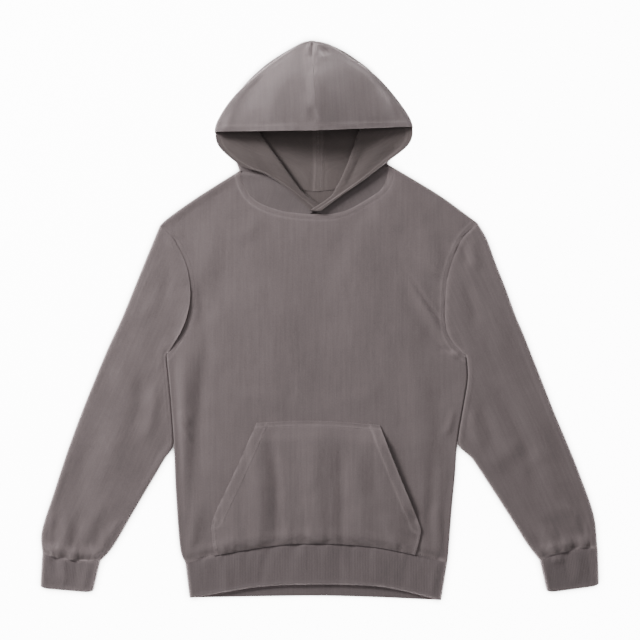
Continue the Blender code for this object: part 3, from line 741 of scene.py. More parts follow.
def pocket_height(plan, settings):
    """The front panel under it, a wall, a lift that grows off the sewn edges, and its own creases."""
    top, mouth_left, mouth_right, sewn_left, sewn_right = pocket_edges()
    sewn = distance(plan, [top, sewn_left, sewn_right])
    base = distance(plan, [on_curve(HEM_FRONT, even(40))])
    near_left, near_right = distance(plan, [mouth_left]), distance(plan, [mouth_right])
    mouth = np.minimum(near_left, near_right)
    ends = smooth_step(sewn, 2 * MM, 40 * MM)
    lift = 0.35 * MM + 2.9 * MM * smooth_step(sewn, 3 * MM, 34 * MM) * smooth_step(base, 0, 24 * MM)
    lift -= 2.2 * MM * np.exp(-near_left / (16 * MM)) * ends
    lift += 2.6 * MM * np.exp(-near_right / (15 * MM)) * ends
    lift = np.maximum(lift, 0.35 * MM)
    below = front_height(plan, settings)
    own = settings.creases * creases(plan, POCKET_CREASES) * (0.25 + 0.75 * smooth_step(sewn, 0, 25 * MM))
    own += 0.7 * settings.rumple * rumple(plan, 33) * smooth_step(np.minimum(sewn, mouth), 0, 18 * MM)
    along = plan[..., 0] + plan[..., 1]
    own += settings.pucker * 0.7 * gathers(near_left, along, 12 * MM, 41)
    own += settings.pucker * 0.45 * gathers(near_right, along, 12 * MM, 43)
    own += settings.pucker * 0.5 * gathers(distance(plan, [top]), plan[..., 0], 14 * MM, 45)
    own *= smooth_step(base, 0, 8 * MM)
    relief = 0.6 * MM * (1 - smooth_step(mouth, 15 * MM, 19 * MM))
    for at in (14 * MM, 17 * MM):
        relief -= 0.3 * MM * np.exp(-(((mouth - at) / (1.1 * MM)) ** 2))
    for at in (1.6 * MM, 8 * MM):
        relief -= 0.45 * MM * np.exp(-(((distance(plan, [top]) - at) / (1.2 * MM)) ** 2))
    return below + settings.wall + np.maximum(lift + own + relief, 0.2 * MM)


def make_pocket(settings, cloth):
    """z(x, y) = front panel + wall + lift + creases, on a patch between the pocket's edges."""
    plan = pocket_plan(0.8 * settings.grid)
    top, mouth_left, mouth_right, sewn_left, sewn_right = pocket_edges()
    worn = seam_wear(
        (distance(plan, [mouth_left, mouth_right]), 15 * MM),
        (distance(plan, [top]), 7 * MM),
        (distance(plan, [sewn_left, sewn_right]), 4 * MM),
    )
    points = raised(plan, pocket_height(plan, settings))
    faces = grid_faces(*plan.shape[:2])
    return sheet_object("kangaroo_pocket", points, faces, cloth, settings.wall, plan, worn)


def sleeve_lines(side, settings):
    """Plan of a sleeve: a line across it at each section, from inner to outer edge."""
    table = smooth_rows(SLEEVE[side], 16) * MM
    keep = np.unique(np.concatenate([np.arange(32), np.arange(32, 97, 3), np.arange(96, len(table))]))
    inner, outer = table[:, :2].copy(), table[:, 2:]
    body = side_line(side, 60)[::-1]
    outward = OUTWARD[side]
    limit = np.interp(-inner[:, 1], -body[:, 1], body[:, 0]) + outward * TOUCH_GAP
    free = 1 - smooth_step(-inner[:, 1], 0.188, 0.225)
    inner[:, 0] = limit * free + inner[:, 0] * (1 - free)
    armhole_shares = rolled(length_of(ARMHOLE[side]), steps_for(0.235, settings.grid))
    armhole = on_curve(ARMHOLE[side], armhole_shares)
    across = (lengths(armhole) / lengths(armhole)[-1])[None, :, None]
    lines = inner[:, None] * (1 - across) + outer[:, None] * across
    bow = armhole - lines[0]
    along = np.linspace(0, 1, len(table))
    straighten = np.clip(1 - along / BOW_REACH, 0, 1) ** 2
    lines = lines + straighten[:, None, None] * bow
    seam = np.sin(np.pi * across[0, :, 0])[:, None] * np.array(CUFF_SEAM_BOW[side]) * MM
    lines = lines + (along**6)[:, None, None] * seam
    tangent = unit(np.gradient(armhole, axis=0))
    square = outward * np.stack([tangent[:, 1], -tangent[:, 0]], axis=-1)
    lines[0] = armhole + SEAM_GAP * square
    return lines[keep]


def thinned(line, count=40):
    """At most that many points of a line, evenly picked, both ends kept."""
    return line[np.unique(np.linspace(0, len(line) - 1, count).astype(int))]


def sleeve_height(plan, side, edges, seam_line, settings):
    """Middle of a sleeve's top layer: rest, creases, rumple, gathers at the cuff and seam relief."""
    edge = distance(plan, edges)
    armhole = distance(plan, [on_curve(ARMHOLE[side], even(30))])
    wrist = distance(plan, [seam_line])
    inside = smooth_step(edge, ROLL, 14 * MM)
    height = top_rest(edge, settings.wall, 3.0 * MM)
    sunk = 1.0 if side == "right" else 0.0
    height -= 0.25 * MM * sunk * np.exp(-armhole / (5 * MM)) * smooth_step(edge, ROLL, 16 * MM)
    height += 0.8 * settings.creases * creases(plan, SLEEVE_CREASES[side]) * inside
    turn = OUTWARD[side] * 0.42
    height += 0.9 * settings.rumple * rumple(plan, 51 if side == "left" else 71, turn) * inside
    height += settings.pucker * 1.9 * gathers(wrist, plan[..., 0], 26 * MM, 61) * inside
    height += settings.pucker * 0.3 * gathers(armhole, plan[..., 1], 16 * MM, 63) * inside
    height += 2.4 * MM * np.exp(-(((wrist - 12 * MM) / (9 * MM)) ** 2)) * inside
    height -= 1.2 * MM * np.exp(-wrist / (4 * MM)) * inside
    height += sunk * welt(armhole, 2.5 * MM, 0.1 * MM) * inside
    height += 0.5 * MM * np.exp(-(((edge - 7 * MM) / (2.0 * MM)) ** 2)) * 0.5
    return np.where(edge > ROLL, np.maximum(height, 1.62 * settings.wall), height)


def tube_rings(over_plan, over, under_plan, under):
    """Rings of a flattened tube: over the top from one edge to the other, and back underneath."""
    return (
        np.concatenate([over_plan, under_plan[:, -2:0:-1]], axis=1),
        np.concatenate([over, under[:, -2:0:-1]], axis=1),
    )


def fewer(columns, step=3):
    """Every third column, with the close ones at each end kept."""
    middle = np.arange(5, columns - 5, step)
    return np.unique(np.concatenate([np.arange(5), middle, np.arange(columns - 5, columns)]))


def make_sleeve(side, settings, cloth):
    """A flattened tube: z of its top layer is rest + creases + rumple + gathers, its underside flat."""
    lines = sleeve_lines(side, settings)
    edges = [thinned(lines[:, 0], 100), thinned(lines[:, -1], 100)]
    seam = thinned(lines[-1], 24)
    over = sleeve_height(lines, side, edges, seam, settings)
    under_plan = lines[:, fewer(lines.shape[1])]
    under = low_rest(distance(under_plan, edges), settings.wall)
    plan, height = tube_rings(lines, over, under_plan, under)
    armhole = distance(plan, [on_curve(ARMHOLE[side], even(30))])
    worn = seam_wear((distance(plan, [seam]), 2 * MM)) + 0.4 * seam_wear((distance(plan, edges), 2 * MM))
    worn = worn + seam_shows(plan) * seam_wear((armhole, 1 * MM))
    faces = grid_faces(*plan.shape[:2], closed=True)
    faces = faces if side == "right" else faces[:, ::-1]
    flat = turned(plan, OUTWARD[side] * 0.42)
    return sheet_object(side + "_sleeve", raised(plan, height), faces, cloth, settings.wall, flat, worn)


def cuff_lines(side, settings):
    """Plan of a cuff: the sleeve's last line carried on to the hand's end, its corners rounded."""
    seam = sleeve_lines(side, settings)[-1]
    end = np.array(CUFF_END[side], float) * MM
    across = (lengths(seam) / lengths(seam)[-1])[:, None]
    hand = end[:2] * (1 - across) + end[2:] * across
    upward = unit(seam - hand)
    corner = np.minimum(across, 1 - across) * np.linalg.norm(end[2:] - end[:2])
    hand = hand + upward * (3.0 * MM * np.exp(-corner / (3.5 * MM)))
    seam = pulled_in(seam, hand)
    share = even(steps_for(0.056, 0.7 * settings.grid))[:, None, None]
    return seam * (1 - share) + hand * share


def cuff_height(plan, side, edges, seam, end, settings):
    """Middle of a cuff's top layer: rest, creases, gathers at the seam and the rounded end."""
    edge = distance(plan, edges)
    wrist, hand = distance(plan, [seam]), distance(plan, [end])
    inside = smooth_step(edge, ROLL, 10 * MM)
    height = top_rest(edge, settings.rib_wall, 0.8 * MM)
    height += settings.creases * creases(plan, CUFF_CREASES[side]) * inside
    height += settings.pucker * 0.9 * gathers(wrist, plan[..., 0], 14 * MM, 81) * inside
    height += 0.35 * settings.rumple * rumple(plan, 83) * inside
    height -= 0.8 * MM * np.exp(-wrist / (2.5 * MM))
    height += 0.5 * MM * np.exp(-(((hand - 3 * MM) / (2.5 * MM)) ** 2)) * inside
    height -= 0.9 * MM * (1 - roll_rise(np.minimum(hand, ROLL)) / ROLL)
    return np.where(edge > ROLL, np.maximum(height, 1.7 * settings.rib_wall), height)


def make_cuff(side, settings, cloth):
    """A flattened tube from the sleeve's end to the hand, its wall doubled at the hand's end."""
    lines = cuff_lines(side, settings)
    edges = [thinned(lines[:, 0], 16), thinned(lines[:, -1], 16)]
    seam, end = thinned(lines[0], 20), thinned(lines[-1], 20)
    over = cuff_height(lines, side, edges, seam, end, settings)
    under_plan = lines[:, fewer(lines.shape[1])]
    under = low_rest(distance(under_plan, edges), settings.rib_wall)
    plan, height = tube_rings(lines, over, under_plan, under)
    worn = seam_wear((distance(plan, [end]), 1 * MM), (distance(plan, edges), 2 * MM))
    faces = grid_faces(*plan.shape[:2], closed=True)
    faces = faces if side == "right" else faces[:, ::-1]
    flat = turned(plan, OUTWARD[side] * 0.1)
    return sheet_object(side + "_cuff", raised(plan, height), faces, cloth, settings.rib_wall, flat, worn)


def band_height(plan, edges, seam, end, settings):
    """Middle of the band's top layer: rest, creases, gathers at the seam and the rounded end."""
    edge = distance(plan, edges)
    hem, low = distance(plan, [seam]), distance(plan, [end])
    inside = smooth_step(edge, ROLL, 12 * MM)
    height = top_rest(edge, settings.rib_wall, 0.6 * MM)
    height += settings.creases * creases(plan, BAND_CREASES) * inside
    height += settings.pucker * 0.9 * gathers(hem, plan[..., 0], 18 * MM, 91) * inside
    height += 0.4 * settings.rumple * rumple(plan, 93) * inside
    height -= 0.8 * MM * np.exp(-hem / (2.5 * MM)) * inside
    height += 0.5 * MM * np.exp(-(((low - 3 * MM) / (2.5 * MM)) ** 2)) * inside
    height -= 0.9 * MM * (1 - roll_rise(np.minimum(low, ROLL)) / ROLL) * inside
    return np.where(edge > ROLL, np.maximum(height, 1.7 * settings.rib_wall), height)


def make_band(settings, cloth):
    """A flattened tube round the hem, shorter in front than behind, doubled at its lower edge."""
    grid = 0.9 * settings.grid
    across = steps_for(length_of(HEM_FRONT), grid)
    rows = even(steps_for(0.06, 0.7 * settings.grid))[:, None, None]
    layers = []
    for seam, end in ((HEM_FRONT, BAND_FRONT), (HEM_BACK, BAND_BACK)):
        top = on_curve(seam, rolled(length_of(seam), across))
        bottom = on_curve(end, rolled(length_of(end), across))
        layers.append(pulled_in(top, bottom) * (1 - rows) + bottom * rows)
    front, back = layers
    edges = [thinned(front[:, 0], 12), thinned(front[:, -1], 12)]
    over = band_height(front, edges, thinned(front[0]), thinned(front[-1]), settings)
    back = back[:, fewer(back.shape[1])]
    under = low_rest(distance(back, edges), settings.rib_wall)
    plan, height = tube_rings(front, over, back, under)
    worn = seam_wear((distance(plan, [thinned(front[-1])]), 1 * MM), (distance(plan, edges), 2 * MM))
    faces = grid_faces(*plan.shape[:2], closed=True)[:, ::-1]
    return sheet_object("waist_band", raised(plan, height), faces, cloth, settings.rib_wall, plan, worn)


def arc(before, corner, after, steps=5):
    """A rounded corner as columns of points, on a Bezier curve between the lines to each side."""
    ends = []
    for other in (before, after):
        step = other - corner
        length = np.linalg.norm(step, axis=-1, keepdims=True)
        ends.append(corner + step / length * np.minimum(HOOD_ROUND, 0.45 * length))
    t = even(steps)[None, :, None]
    return (1 - t) ** 2 * ends[0][:, None] + 2 * t * (1 - t) * corner[:, None] + t**2 * ends[1][:, None]


def straight(start, end, steps):
    """Points from start towards end, without either end, as columns."""
    share = (np.arange(1, steps) / steps)[None, :, None]
    return start[:, None] * (1 - share) + end[:, None] * share


def point(table, x, z):
    """A key point of every section: its plan columns and one of its heights."""
    return np.concatenate([table[:, x : x + 2], table[:, z : z + 1]], axis=1)


def arc_lengths(points, axis):
    """Run of length along one axis of a grid of points, from 0."""
    step = np.linalg.norm(np.diff(points, axis=axis), axis=-1)
    zero = np.zeros_like(np.take(step, [0], axis=axis))
    return np.concatenate([zero, np.cumsum(step, axis=axis)], axis=axis)


def hood_grid(side, settings):
    """The folded sheet of a hood half: its points, kept quads and where its parts begin."""
    sub = max(2, int(round(0.036 / settings.grid)))
    outward = OUTWARD[side]
    seam = smooth_rows([row[1:] for row in HOOD_SEAM], sub)
    flap = smooth_rows([row[1:] for row in HOOD_SEAM[: BROW + 1]], sub)[:, :3] * MM
    back = seam[:, 3:] * MM
    upper = smooth_rows(HOOD_HALF[side][: SHOULDER_ROW + 1], sub)
    throat = smooth_rows(HOOD_HALF[side][SHOULDER_ROW:], sub)
    half = np.vstack([upper, throat[1:]]) * MM
    flap[:, 0] += outward * SEAM_GAP / 2
    back[:, 0] += outward * SEAM_GAP / 2
    brow, shoulder = BROW * sub, SHOULDER_ROW * sub

    neck = on_curve(NECK_FRONT[side], even(len(half) - 1 - shoulder))
    neck_height = front_height(neck, settings, parting=False)
    side_over, side_under = point(half, 0, 2), point(half, 0, 3)
    inner_over, inner_under = point(half, 4, 6), point(half, 4, 7)
    outer_over = point(half, 8, 10)
    outer_over[shoulder:] = raised(neck, neck_height)
    outer_over[shoulder:, :2] = offset(neck, -outward * SEAM_GAP)
    outer_low = outer_over.copy()
    outer_low[:, 2] = settings.wall / 2

    flap_top = np.zeros_like(side_over)
    flap_top[: brow + 1] = flap
    centre = np.zeros_like(side_over)
    centre[: shoulder + 1, :2] = back
    centre[:, 2] = settings.wall / 2

    a = arc(flap_top, side_over, side_under)
    b = arc(side_over, side_under, inner_over)
    c = arc(side_under, inner_over, inner_under)
    d = arc(inner_over, inner_under, outer_over)
    e = arc(inner_under, outer_over, outer_low)
    f = arc(outer_over, outer_low, centre)
    lapel_start = b[:, -1].copy()
    lapel_start[brow + 1 :] = side_under[brow + 1 :]
    b[brow + 1 :] = lapel_start[brow + 1 :, None]
    under_end = e[:, 0].copy()
    under_end[shoulder + 1 :] = outer_over[shoulder + 1 :]

    flap_steps = steps_for(0.15, settings.grid)
    share = (np.arange(flap_steps) / flap_steps)[None, :]
    top = np.concatenate([flap_top[:, None], straight(flap_top, a[:, 0], flap_steps)], axis=1)
    rise = (flap_top[:, 2] - a[:, 0, 2])[:, None]
    slope = (np.hypot(share, RIDGE) - RIDGE) / (np.hypot(1, RIDGE) - RIDGE)
    top[..., 2] += rise * (share - slope)
    lapel_steps = steps_for(0.075, settings.grid)
    lapel = straight(lapel_start, c[:, 0], lapel_steps)
    under = straight(d[:, -1], under_end, lapel_steps)
    low_steps = steps_for(0.13, settings.grid)
    low = np.concatenate([straight(f[:, -1], centre, low_steps), centre[:, None]], axis=1)
    neck_curve = on_curve(NECK_BACK[side], even(low.shape[1] - 1))
    neck_curve[:, 1] += SEAM_GAP
    bend = np.zeros(len(half))
    bend[: shoulder + 1] = np.clip(np.arange(shoulder + 1) / shoulder, 0, 1) ** 4
    low[..., :2] += bend[:, None, None] * (neck_curve - low[shoulder, :, :2])

    order = [top, a, b[:, :-1], lapel_start[:, None], lapel, c, d, under, under_end[:, None]]
    order += [e[:, 1:], f, low]
    points = np.concatenate(order, axis=1)
    counts = np.cumsum([part.shape[1] for part in order])
    at = {
        "flap": slice(0, counts[0]), "lapel_start": counts[2], "lapel_end": counts[4],
        "under_end": counts[8] - 1, "back": slice(counts[10], counts[11]),
        "brow": brow, "shoulder": shoulder,
    }
    rows, columns = points.shape[:2]
    faces = grid_faces(rows, columns).reshape(rows - 1, columns - 1, 4)
    kept = np.ones((rows - 1, columns - 1), bool)
    kept[brow:, : at["lapel_start"]] = False
    kept[brow, counts[1] : counts[2]] = True
    kept[shoulder:, at["under_end"] :] = False
    return points, faces[kept], at


def hood_points(side, settings):
    """The hood half's points with creases, hems and rumple added to the layers that show."""
    points, faces, at = hood_grid(side, settings)
    brow, start, end = at["brow"], at["lapel_start"], at["lapel_end"]
    flap = points[: brow + 1, at["flap"]]
    plan = flap[..., :2]
    to_brow = arc_lengths(flap[::-1], 0)[::-1]
    to_seam = arc_lengths(flap, 1)
    to_side = to_seam[:, -1:] - to_seam
    inside = smooth_step(to_side, 0, 14 * MM)
    lift = settings.creases * creases(plan, FLAP_CREASES) * inside
    lift += 1.1 * settings.rumple * rumple(plan, 101) * inside
    lift += settings.pucker * 0.9 * gathers(to_brow, plan[..., 0], 12 * MM, 105) * inside
    lift += settings.pucker * 0.6 * gathers(to_seam, plan[..., 1], 10 * MM, 107)
    shows = smooth_step(plan[..., 1], 0.412, 0.430) + 0.3 - 0.3 * smooth_step(plan[..., 1], 0.312, 0.336)
    lift += 0.6 * shows * welt(to_seam, 5 * MM, 0.3 * MM)
    lift += 0.6 * MM * (1 - smooth_step(to_brow, 8.5 * MM, 11 * MM))
    lift -= 0.4 * MM * np.exp(-(((to_brow - 8.5 * MM) / (1.1 * MM)) ** 2))
    points[: brow + 1, at["flap"], 2] += lift
    worn = np.zeros(points.shape[:2])
    brow_wear, seam_worn = seam_wear((to_brow, 9 * MM)), seam_wear((to_seam, 5 * MM))
    worn[: brow + 1, at["flap"]] = 0.6 * brow_wear + 0.2 * shows * seam_worn

    lapel = points[:, start : end]
    plan = lapel[..., :2]
    to_edge = arc_lengths(lapel, 1)
    to_fold = to_edge[:, -1:] - to_edge
    inside = smooth_step(to_fold, 0, 8 * MM) * smooth_step(to_edge, 0, 6 * MM)
    lift = 0.8 * settings.creases * creases(plan, LAPEL_CREASES[side]) * inside
    lift += 0.5 * settings.rumple * rumple(plan, 111) * inside
    free = np.zeros((len(points), 1))
    free[brow:] = 1
    lift += free * 0.6 * MM * (1 - smooth_step(to_edge, 8.5 * MM, 11 * MM)) * smooth_step(to_fold, 0, 8 * MM)
    lift -= free * 0.4 * MM * np.exp(-(((to_edge - 8.5 * MM) / (1.1 * MM)) ** 2)) * inside
    points[:, start:end, 2] += lift
    worn[:, start:end] = free * seam_wear((to_edge, 9 * MM))

    back = points[:, at["back"]]
    to_centre = arc_lengths(back, 1)
    to_centre = to_centre[:, -1:] - to_centre
    relief = 0.9 * MM * (1 - smooth_step(to_centre, 5.5 * MM, 7.5 * MM))
    relief += 0.7 * settings.rumple * (1 + rumple(back[..., :2], 121)) * smooth_step(to_centre, 0, 20 * MM)
    fold = arc_lengths(back, 1)
    points[:, at["back"], 2] += relief * smooth_step(fold, 0, 10 * MM)
    worn[:, at["back"]] = seam_wear((to_centre, 6 * MM))
    return points, faces, at, worn


def make_hood_half(side, settings, cloth, inner):
    """One folded sheet: flap, side fold, lapel, inner fold, under layer, outer fold and back layer."""
    points, faces, _, worn = hood_points(side, settings)
    flat = np.stack([arc_lengths(points, 1), -arc_lengths(points, 0)], axis=-1)
    faces = faces if side == "left" else faces[:, ::-1]
    return sheet_object(side + "_hood_half", points, faces, cloth, settings.wall, flat, worn, inner)


def offset(line, far):
    """A plan line moved to its left by that distance."""
    along = unit(np.gradient(line, axis=0))
    return line + far * np.stack([-along[:, 1], along[:, 0]], axis=-1)


def inset(grid, far):
    """The line at that length along each row of a grid of points, from its first column."""
    run = arc_lengths(grid, 1)
    found = [
        [np.interp(far, run[i], grid[i, :, k]) for k in range(3)] for i in range(len(grid))
    ]
    return np.array(found)


def stitch_mesh(lines, settings):
    """Each stitch is a six-sided spindle on its line, half sunk in the cloth."""
    pitch, width = settings.stitch_pitch, settings.stitch_width
    starts, stops = [], []
    for line in lines:
        run = lengths(line)
        at = (np.arange(int(run[-1] / pitch)) + 0.5) * pitch
        for found, way in ((starts, -0.36), (stops, 0.36)):
            found.append(np.stack([np.interp(at + way * pitch, run, line[:, k]) for k in range(3)], 1))
    start, end = np.vstack(starts), np.vstack(stops)
    along = unit(end - start)
    side = unit(np.cross(along, [0, 0, 1]))
    up = np.cross(side, along)
    angle = np.linspace(0, 2 * np.pi, 6, endpoint=False)
    ring = (np.cos(angle)[:, None, None] * side + np.sin(angle)[:, None, None] * up) * width / 2
    middle = (start + end) / 2
    stations = [start[None], middle[None] + (start - middle)[None] * 0.72 + ring,
                middle[None] + (end - middle)[None] * 0.72 + ring, end[None]]
    points = np.concatenate(stations, axis=0).transpose(1, 0, 2)
    k = np.arange(6)
    n = (k + 1) % 6
    caps = np.concatenate([np.stack([0 * k, 1 + n, 1 + k], 1), np.stack([0 * k + 13, 7 + k, 7 + n], 1)])
    walls = np.concatenate([np.stack([1 + k, 1 + n, 7 + n], 1), np.stack([1 + k, 7 + n, 7 + k], 1)])
    one = np.concatenate([caps, walls])
    faces = one[None] + 14 * np.arange(len(points))[:, None, None]
    return points.reshape(-1, 3), faces.reshape(-1, 3)


def stitch_lines(settings):
    """The topstitch lines of the front panel, pocket and hood, lying on the cloth's outer side."""
    on = settings.wall / 2 + 0.1 * settings.stitch_width
    body = []
    for far in (2.2 * MM, 7.6 * MM):
        body.append(offset(neck_line(120)[0], -far)[3:-3])
    for side, flip in (("left", 1), ("right", -1)):
        arm = on_curve(ARMHOLE[side], even(100))
        body.append(offset(arm, -flip * 6.5 * MM)[4:-4])
    hem = on_curve(HEM_FRONT, even(160))
    body.append(offset(hem, 3.4 * MM)[6:-6])
    found = [raised(line, front_height(line, settings) + on) for line in body]
    top, mouth_left, mouth_right, sewn_left, sewn_right = pocket_edges()
    top = on_curve(POCKET_TOP, even(60))
    pocket = [offset(top, -1.6 * MM), offset(top, -8 * MM)]
    for far in (14 * MM, 17 * MM):
        pocket.append(offset(mouth_left, -far)[1:-5])
        pocket.append(offset(mouth_right, far)[1:-5])
    for far in (2 * MM, 6 * MM):
        pocket.append(offset(sewn_left, -far)[1:])
        pocket.append(offset(sewn_right, far)[1:])
    found += [raised(line, pocket_height(line, settings) + on) for line in pocket]
    for side in ("left", "right"):
        points, _, at, _ = hood_points(side, settings)
        brow, start, end = at["brow"], at["lapel_start"], at["lapel_end"]
        flap = points[: brow + 1, at["flap"]]
        found.append(inset(flap[::-1].transpose(1, 0, 2), 8.5 * MM) + [0, 0, on])
        found.append(inset(points[brow + 4 :, start:end], 8.5 * MM) + [0, 0, on])
        back = points[at["brow"] - 20 : at["shoulder"], at["back"]][:, ::-1]
        found.append(inset(back, 4.6 * MM) + [0, 0, on])
    return found


def colour_input(group, name, value):
    """Adds a colour input with its default to a node group."""
    socket = group.interface.new_socket(name=name, in_out="INPUT", socket_type="NodeSocketColor")
    socket.default_value = (*value, 1.0)


def value_input(group, name, value):
    """Adds a number input with its default to a node group."""
    socket = group.interface.new_socket(name=name, in_out="INPUT", socket_type="NodeSocketFloat")
    socket.default_value = value


def node(tree, kind, values=(), **settings):
    """A new node with these settings and input values."""
    made = tree.nodes.new(kind)
    for name, value in settings.items():
        setattr(made, name, value)
    for name, value in dict(values).items():
        made.inputs[name].default_value = value
    return made


def fleece_group():
    """Colour, roughness and height of a washed knit face."""
    group = bpy.data.node_groups.new("Washed Knit", "ShaderNodeTree")
    group.interface.new_socket(name="Cloth", in_out="INPUT", socket_type="NodeSocketVector")
    colour_input(group, "Colour", (0.165, 0.142, 0.144))
    colour_input(group, "Faded", (0.22, 0.2, 0.2))
    value_input(group, "Wear", 0.0)
    value_input(group, "Mottle", 0.26)
    value_input(group, "Wale", 1.1)
    value_input(group, "Rib", 0.0)
    for name, kind in (("Colour", "Color"), ("Roughness", "Float"), ("Height", "Float")):
        group.interface.new_socket(name=name, in_out="OUTPUT", socket_type="NodeSocket" + kind)
    link = group.links.new
    inside, outside = group.nodes.new("NodeGroupInput"), group.nodes.new("NodeGroupOutput")
    parts = node(group, "ShaderNodeSeparateXYZ")
    link(inside.outputs["Cloth"], parts.inputs[0])

    def wave(output, per_metre):
        """Sine of a coordinate times a number of radians for each metre."""
        scaled = node(group, "ShaderNodeMath", operation="MULTIPLY")
        link(output, scaled.inputs[0])
        if isinstance(per_metre, float):
            scaled.inputs[1].default_value = per_metre
        else:
            link(per_metre, scaled.inputs[1])
        sine = node(group, "ShaderNodeMath", operation="SINE")
        link(scaled.outputs[0], sine.inputs[0])
        return sine.outputs[0]

    def patches(scale, detail, stretch=(1, 1, 1)):
        """Soft noise over the cloth, stretched along its axes."""
        mapping = node(group, "ShaderNodeMapping")
        mapping.inputs["Scale"].default_value = stretch
        link(inside.outputs["Cloth"], mapping.inputs["Vector"])
        made = node(group, "ShaderNodeTexNoise", {"Scale": scale, "Detail": detail, "Roughness": 0.6})
        link(mapping.outputs[0], made.inputs["Vector"])
        return made.outputs["Fac"]

    per_wale = node(group, "ShaderNodeMath", operation="DIVIDE")
    per_wale.inputs[0].default_value = 2 * np.pi / MM
    link(inside.outputs["Wale"], per_wale.inputs[1])
    wales = wave(parts.outputs["X"], per_wale.outputs[0])
    courses = wave(parts.outputs["Y"], 2 * np.pi / (0.9 * MM))
    loops = node(group, "ShaderNodeMath", operation="MULTIPLY_ADD")
    link(courses, loops.inputs[0])
    loops.inputs[1].default_value = 0.35
    link(wales, loops.inputs[2])
    fuzz = patches(900.0, 3.0)
    height = node(group, "ShaderNodeMath", operation="MULTIPLY_ADD")
    link(fuzz, height.inputs[0])
    height.inputs[1].default_value = 1.6
    link(loops.outputs[0], height.inputs[2])
    ribs = wave(parts.outputs["X"], 2 * np.pi / (2.6 * MM))
    ribbed = node(group, "ShaderNodeMath", operation="MULTIPLY")
    link(ribs, ribbed.inputs[0])
    link(inside.outputs["Rib"], ribbed.inputs[1])
    total = node(group, "ShaderNodeMath", operation="ADD")
    link(height.outputs[0], total.inputs[0])
    link(ribbed.outputs[0], total.inputs[1])
    link(total.outputs[0], outside.inputs["Height"])

    blotch, grain, streak = patches(14.0, 3.0), patches(420.0, 2.0), patches(220.0, 2.0, (1, 0.05, 1))
    shade = node(group, "ShaderNodeMath", operation="ADD")
    link(blotch, shade.inputs[0])
    link(grain, shade.inputs[1])
    streaked = node(group, "ShaderNodeMath", operation="ADD")
    link(shade.outputs[0], streaked.inputs[0])
    link(streak, streaked.inputs[1])
    centred = node(group, "ShaderNodeMath", operation="SUBTRACT")
    link(streaked.outputs[0], centred.inputs[0])
    centred.inputs[1].default_value = 1.5
    scaled = node(group, "ShaderNodeMath", operation="MULTIPLY_ADD")
    link(centred.outputs[0], scaled.inputs[0])
    link(inside.outputs["Mottle"], scaled.inputs[1])
    scaled.inputs[2].default_value = 1.0
    wear = node(group, "ShaderNodeMath", operation="MULTIPLY", use_clamp=True)
    link(inside.outputs["Wear"], wear.inputs[0])
    wear.inputs[1].default_value = 0.8
    faded = node(group, "ShaderNodeMix", data_type="RGBA")
    link(wear.outputs[0], faded.inputs["Factor"])
    link(inside.outputs["Colour"], faded.inputs[6])
    link(inside.outputs["Faded"], faded.inputs[7])
    tinted = node(group, "ShaderNodeVectorMath", operation="SCALE")
    link(faded.outputs[2], tinted.inputs[0])
    link(scaled.outputs[0], tinted.inputs["Scale"])
    link(tinted.outputs[0], outside.inputs["Colour"])
    rough = node(group, "ShaderNodeMapRange", {"To Min": 0.86, "To Max": 0.97})
    link(grain, rough.inputs["Value"])
    link(rough.outputs[0], outside.inputs["Roughness"])
    return group


def cloth_material(name, colour, rib=0.0):
    """Washed cotton with a soft nap."""
    group = bpy.data.node_groups.get("Washed Knit") or fleece_group()
    made = bpy.data.materials.new(name)
    made.use_nodes = True
    tree = made.node_tree
    shader = tree.nodes["Principled BSDF"]
    shader.inputs["Sheen Weight"].default_value = 0.12
    shader.inputs["Sheen Roughness"].default_value = 0.6
    shader.inputs["Specular IOR Level"].default_value = 0.12
    knit = node(tree, "ShaderNodeGroup", node_tree=group)
    knit.inputs["Colour"].default_value = (*colour, 1.0)
    knit.inputs["Faded"].default_value = (*(min(1, 1.45 * c + 0.006) for c in colour), 1.0)
    knit.inputs["Rib"].default_value = rib
    cloth = node(tree, "ShaderNodeUVMap", uv_map="cloth")
    wear = node(tree, "ShaderNodeAttribute", attribute_name="worn")
    bump = node(tree, "ShaderNodeBump", {"Strength": 0.5, "Distance": 0.00022})
    tree.links.new(cloth.outputs["UV"], knit.inputs["Cloth"])
    tree.links.new(wear.outputs["Fac"], knit.inputs["Wear"])
    tree.links.new(knit.outputs["Colour"], shader.inputs["Base Color"])
    tree.links.new(knit.outputs["Roughness"], shader.inputs["Roughness"])
    tree.links.new(knit.outputs["Height"], bump.inputs["Height"])
    tree.links.new(bump.outputs["Normal"], shader.inputs["Normal"])
    return made


def plain_material(name, colour, glow=0.0):
    """A matt surface; a glow, where asked for, lights it, dimmed by ambient occlusion wherever something
    lies close above it: a painted shadow under and beside whatever rests on it.
    """
    made = bpy.data.materials.new(name)
    made.use_nodes = True
    shader = made.node_tree.nodes["Principled BSDF"]
    shader.inputs["Base Color"].default_value = (*colour, 1.0)
    shader.inputs["Roughness"].default_value = 0.9
    shader.inputs["Specular IOR Level"].default_value = 0.1
    if glow:
        tree = made.node_tree
        # Painted shadow: ambient occlusion dims the floor's glow under and beside the garment and in the
        # cracks between its pieces.
        painted_shadow_occlusion = node(tree, "ShaderNodeAmbientOcclusion", {"Distance": 12 * MM}, samples=8)
        lit = node(tree, "ShaderNodeMapRange", {"From Min": 0.4, "From Max": 0.95, "To Max": glow})
        tree.links.new(painted_shadow_occlusion.outputs["AO"], lit.inputs["Value"])
        tree.links.new(lit.outputs[0], shader.inputs["Emission Strength"])
        shader.inputs["Emission Color"].default_value = (1, 1, 1, 1)
    return made


def material(name, make, *values):
    """The material of that name, made the first time it is asked for."""
    return bpy.data.materials.get(name) or make(name, *values)


def fleece(settings):
    """The outer face of the body, sleeves and pocket."""
    return material("washed fleece", cloth_material, tuple(settings.cloth_colour))


